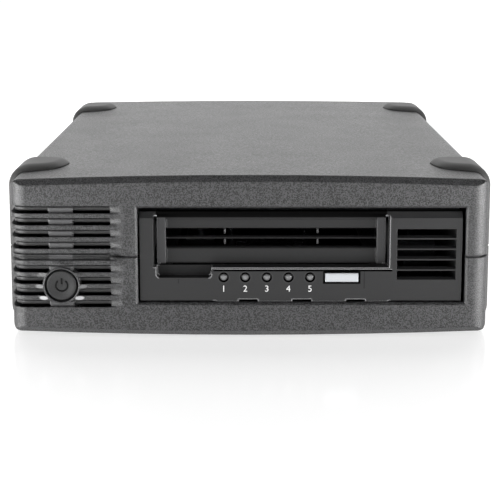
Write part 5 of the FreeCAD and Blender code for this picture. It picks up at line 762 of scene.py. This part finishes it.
def status_numbers():
    """Plain numbers under the status lights."""
    material = grained("number_print", PRINT, roughness=0.5, grain=0.5, spread=0.05, height=0.002 * MM)
    upright = (math.radians(90.0), 0.0, 0.0)
    for index, light_x in enumerate(LIGHT_X, 1):
        words = bpy.data.curves.new(f"number_{index}", "FONT")
        words.body = str(index)
        words.size = NUMBER_SIZE
        words.align_x = "CENTER"
        words.align_y = "CENTER"
        words.extrude = PRINT_THICKNESS
        place = (light_x, bezel_low.y - PRINT_THICKNESS / 2, LIGHT_Z - NUMBER_DROP)
        add_piece(f"status_number_{index}", to_mesh(words), material, "enclosure",
                  place, upright)


def on_dish(x, z):
    """The point of the power button's hollow face at this offset from its axis."""
    return POWER_X + x, POWER_FACE + DISH - DISH_SLOPE * math.hypot(x, z), POWER_Z + z


def power_symbol():
    """Open ring with an upright bar, raised on the button's hollow face."""
    turns = [math.radians(angle) for angle in SYMBOL_ANGLES]
    ring = [on_dish(SYMBOL_RADIUS * math.sin(turn), SYMBOL_RADIUS * math.cos(turn)) for turn in turns]
    bar = [on_dish(0.0, height) for height in SYMBOL_BAR]
    material = grained("symbol_plastic", BLACK, roughness=0.6, grain=0.5, spread=0.1, height=0.005 * MM,
                       specular=0.15)
    wire = round_wire("power_symbol", SYMBOL_STROKE, (ring, bar))
    add_piece("power_symbol", wire, material, "power_button")


def button_coil():
    """Round-wire return spring of the power button, in place of the spring part, which is hidden."""
    low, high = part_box("power_button_spring")
    reach = (high.x - low.x - COIL_WIRE) / 2
    start = low.y + COIL_WIRE / 2
    length = high.y - low.y - COIL_WIRE
    points = []
    for index in range(COIL_TURNS * COIL_STEPS + 1):
        turn = 2 * math.pi * index / COIL_STEPS
        along = start + length * index / (COIL_TURNS * COIL_STEPS)
        points.append((POWER_X + reach * math.cos(turn), along, POWER_Z + reach * math.sin(turn)))
    mesh = to_mesh(round_wire("button_coil", COIL_WIRE / 2, (points,)))
    steel = NODES["power_button_spring"].data.materials[0]
    piece = add_piece("power_button_coil", mesh, steel, "enclosure")
    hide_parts("power_button_spring")
    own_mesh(piece)


# Stage, light and camera

def floor():
    """Pale glowing round floor with a soft reflection; the backdrop takes over beyond its edge."""
    mesh = bpy.data.meshes.new("floor")
    shape = bmesh.new()
    bmesh.ops.create_circle(shape, cap_ends=True, radius=FLOOR_RADIUS, segments=FLOOR_SEGMENTS)
    shape.to_mesh(mesh)
    shape.free()
    material = grained("floor_paper", FLOOR_PAPER, roughness=0.14, grain=2.0, spread=0.01,
                       height=0.002 * MM, specular=0.4)
    tree = material.node_tree
    shader = tree.nodes["Principled BSDF"]
    shader.inputs["Emission Color"].default_value = WHITE
    x, y, _ = axes(tree)
    rim = step(tree, radius_from(tree, x, y, (0.0, 0.0)), FLOOR_FADE, FLOOR_RADIUS)
    link(tree, between(tree, rim, FLOOR_GLOW, 1.0), shader.inputs["Emission Strength"])
    mesh.materials.append(material)
    piece = show("floor", mesh)


def area_light(name, place, target, width, height, power):
    """A rectangular lamp aimed at a target."""
    data = bpy.data.lights.new(name, "AREA")
    data.shape = "RECTANGLE"
    data.size = width
    data.size_y = height
    data.energy = power
    lamp = show(name, data)
    lamp.location = place
    lamp.rotation_euler = (Vector(target) - Vector(place)).to_track_quat("-Z", "Y").to_euler()


def sky():
    """White backdrop for the camera; for the light, pale at the horizon and dark overhead."""
    world = bpy.data.worlds.new("studio")
    bpy.context.scene.world = world
    world.use_nodes = True
    tree = world.node_tree
    glow = tree.nodes["Background"]
    glow.inputs["Color"].default_value = WHITE
    _, depth, height = split(tree, add(tree, "ShaderNodeTexCoord").outputs["Generated"])
    upward = between(tree, step(tree, height, 0.0, SKY_FADE), SKY_LOW, SKY_HIGH)
    backward = between(tree, step(tree, depth, -1.0, 1.0), SKY_FRONT, 1.0)
    link(tree, calc(tree, "MULTIPLY", upward, backward), glow.inputs["Strength"])
    backdrop = add(tree, "ShaderNodeBackground", inputs={"Color": WHITE, "Strength": BACKDROP})
    mix = add(tree, "ShaderNodeMixShader")
    link(tree, add(tree, "ShaderNodeLightPath").outputs["Is Camera Ray"], mix.inputs["Fac"])
    link(tree, glow.outputs["Background"], mix.inputs[1])
    link(tree, backdrop.outputs["Background"], mix.inputs[2])
    link(tree, mix.outputs["Shader"], tree.nodes["World Output"].inputs["Surface"])


def camera():
    """The photograph's camera."""
    data = bpy.data.cameras.new("camera")
    data.sensor_fit = "HORIZONTAL"
    data.sensor_width = SENSOR
    data.lens = CAMERA_FOCAL_PX / IMAGE_SIZE * SENSOR
    data.shift_x, data.shift_y = CAMERA_SHIFT
    data.clip_start, data.clip_end = CAMERA_CLIP
    eye = show("camera", data)
    eye.location = CAMERA_PLACE
    eye.rotation_euler = (math.radians(90.0 - CAMERA_PITCH), 0.0, 0.0)
    bpy.context.scene.camera = eye


dress_nodes()
lens_domes()
status_numbers()
power_symbol()
button_coil()
floor()
sky()
for lamp_values in LAMPS:
    area_light(*lamp_values)
camera()
bpy.context.scene.view_settings.view_transform = "Standard"
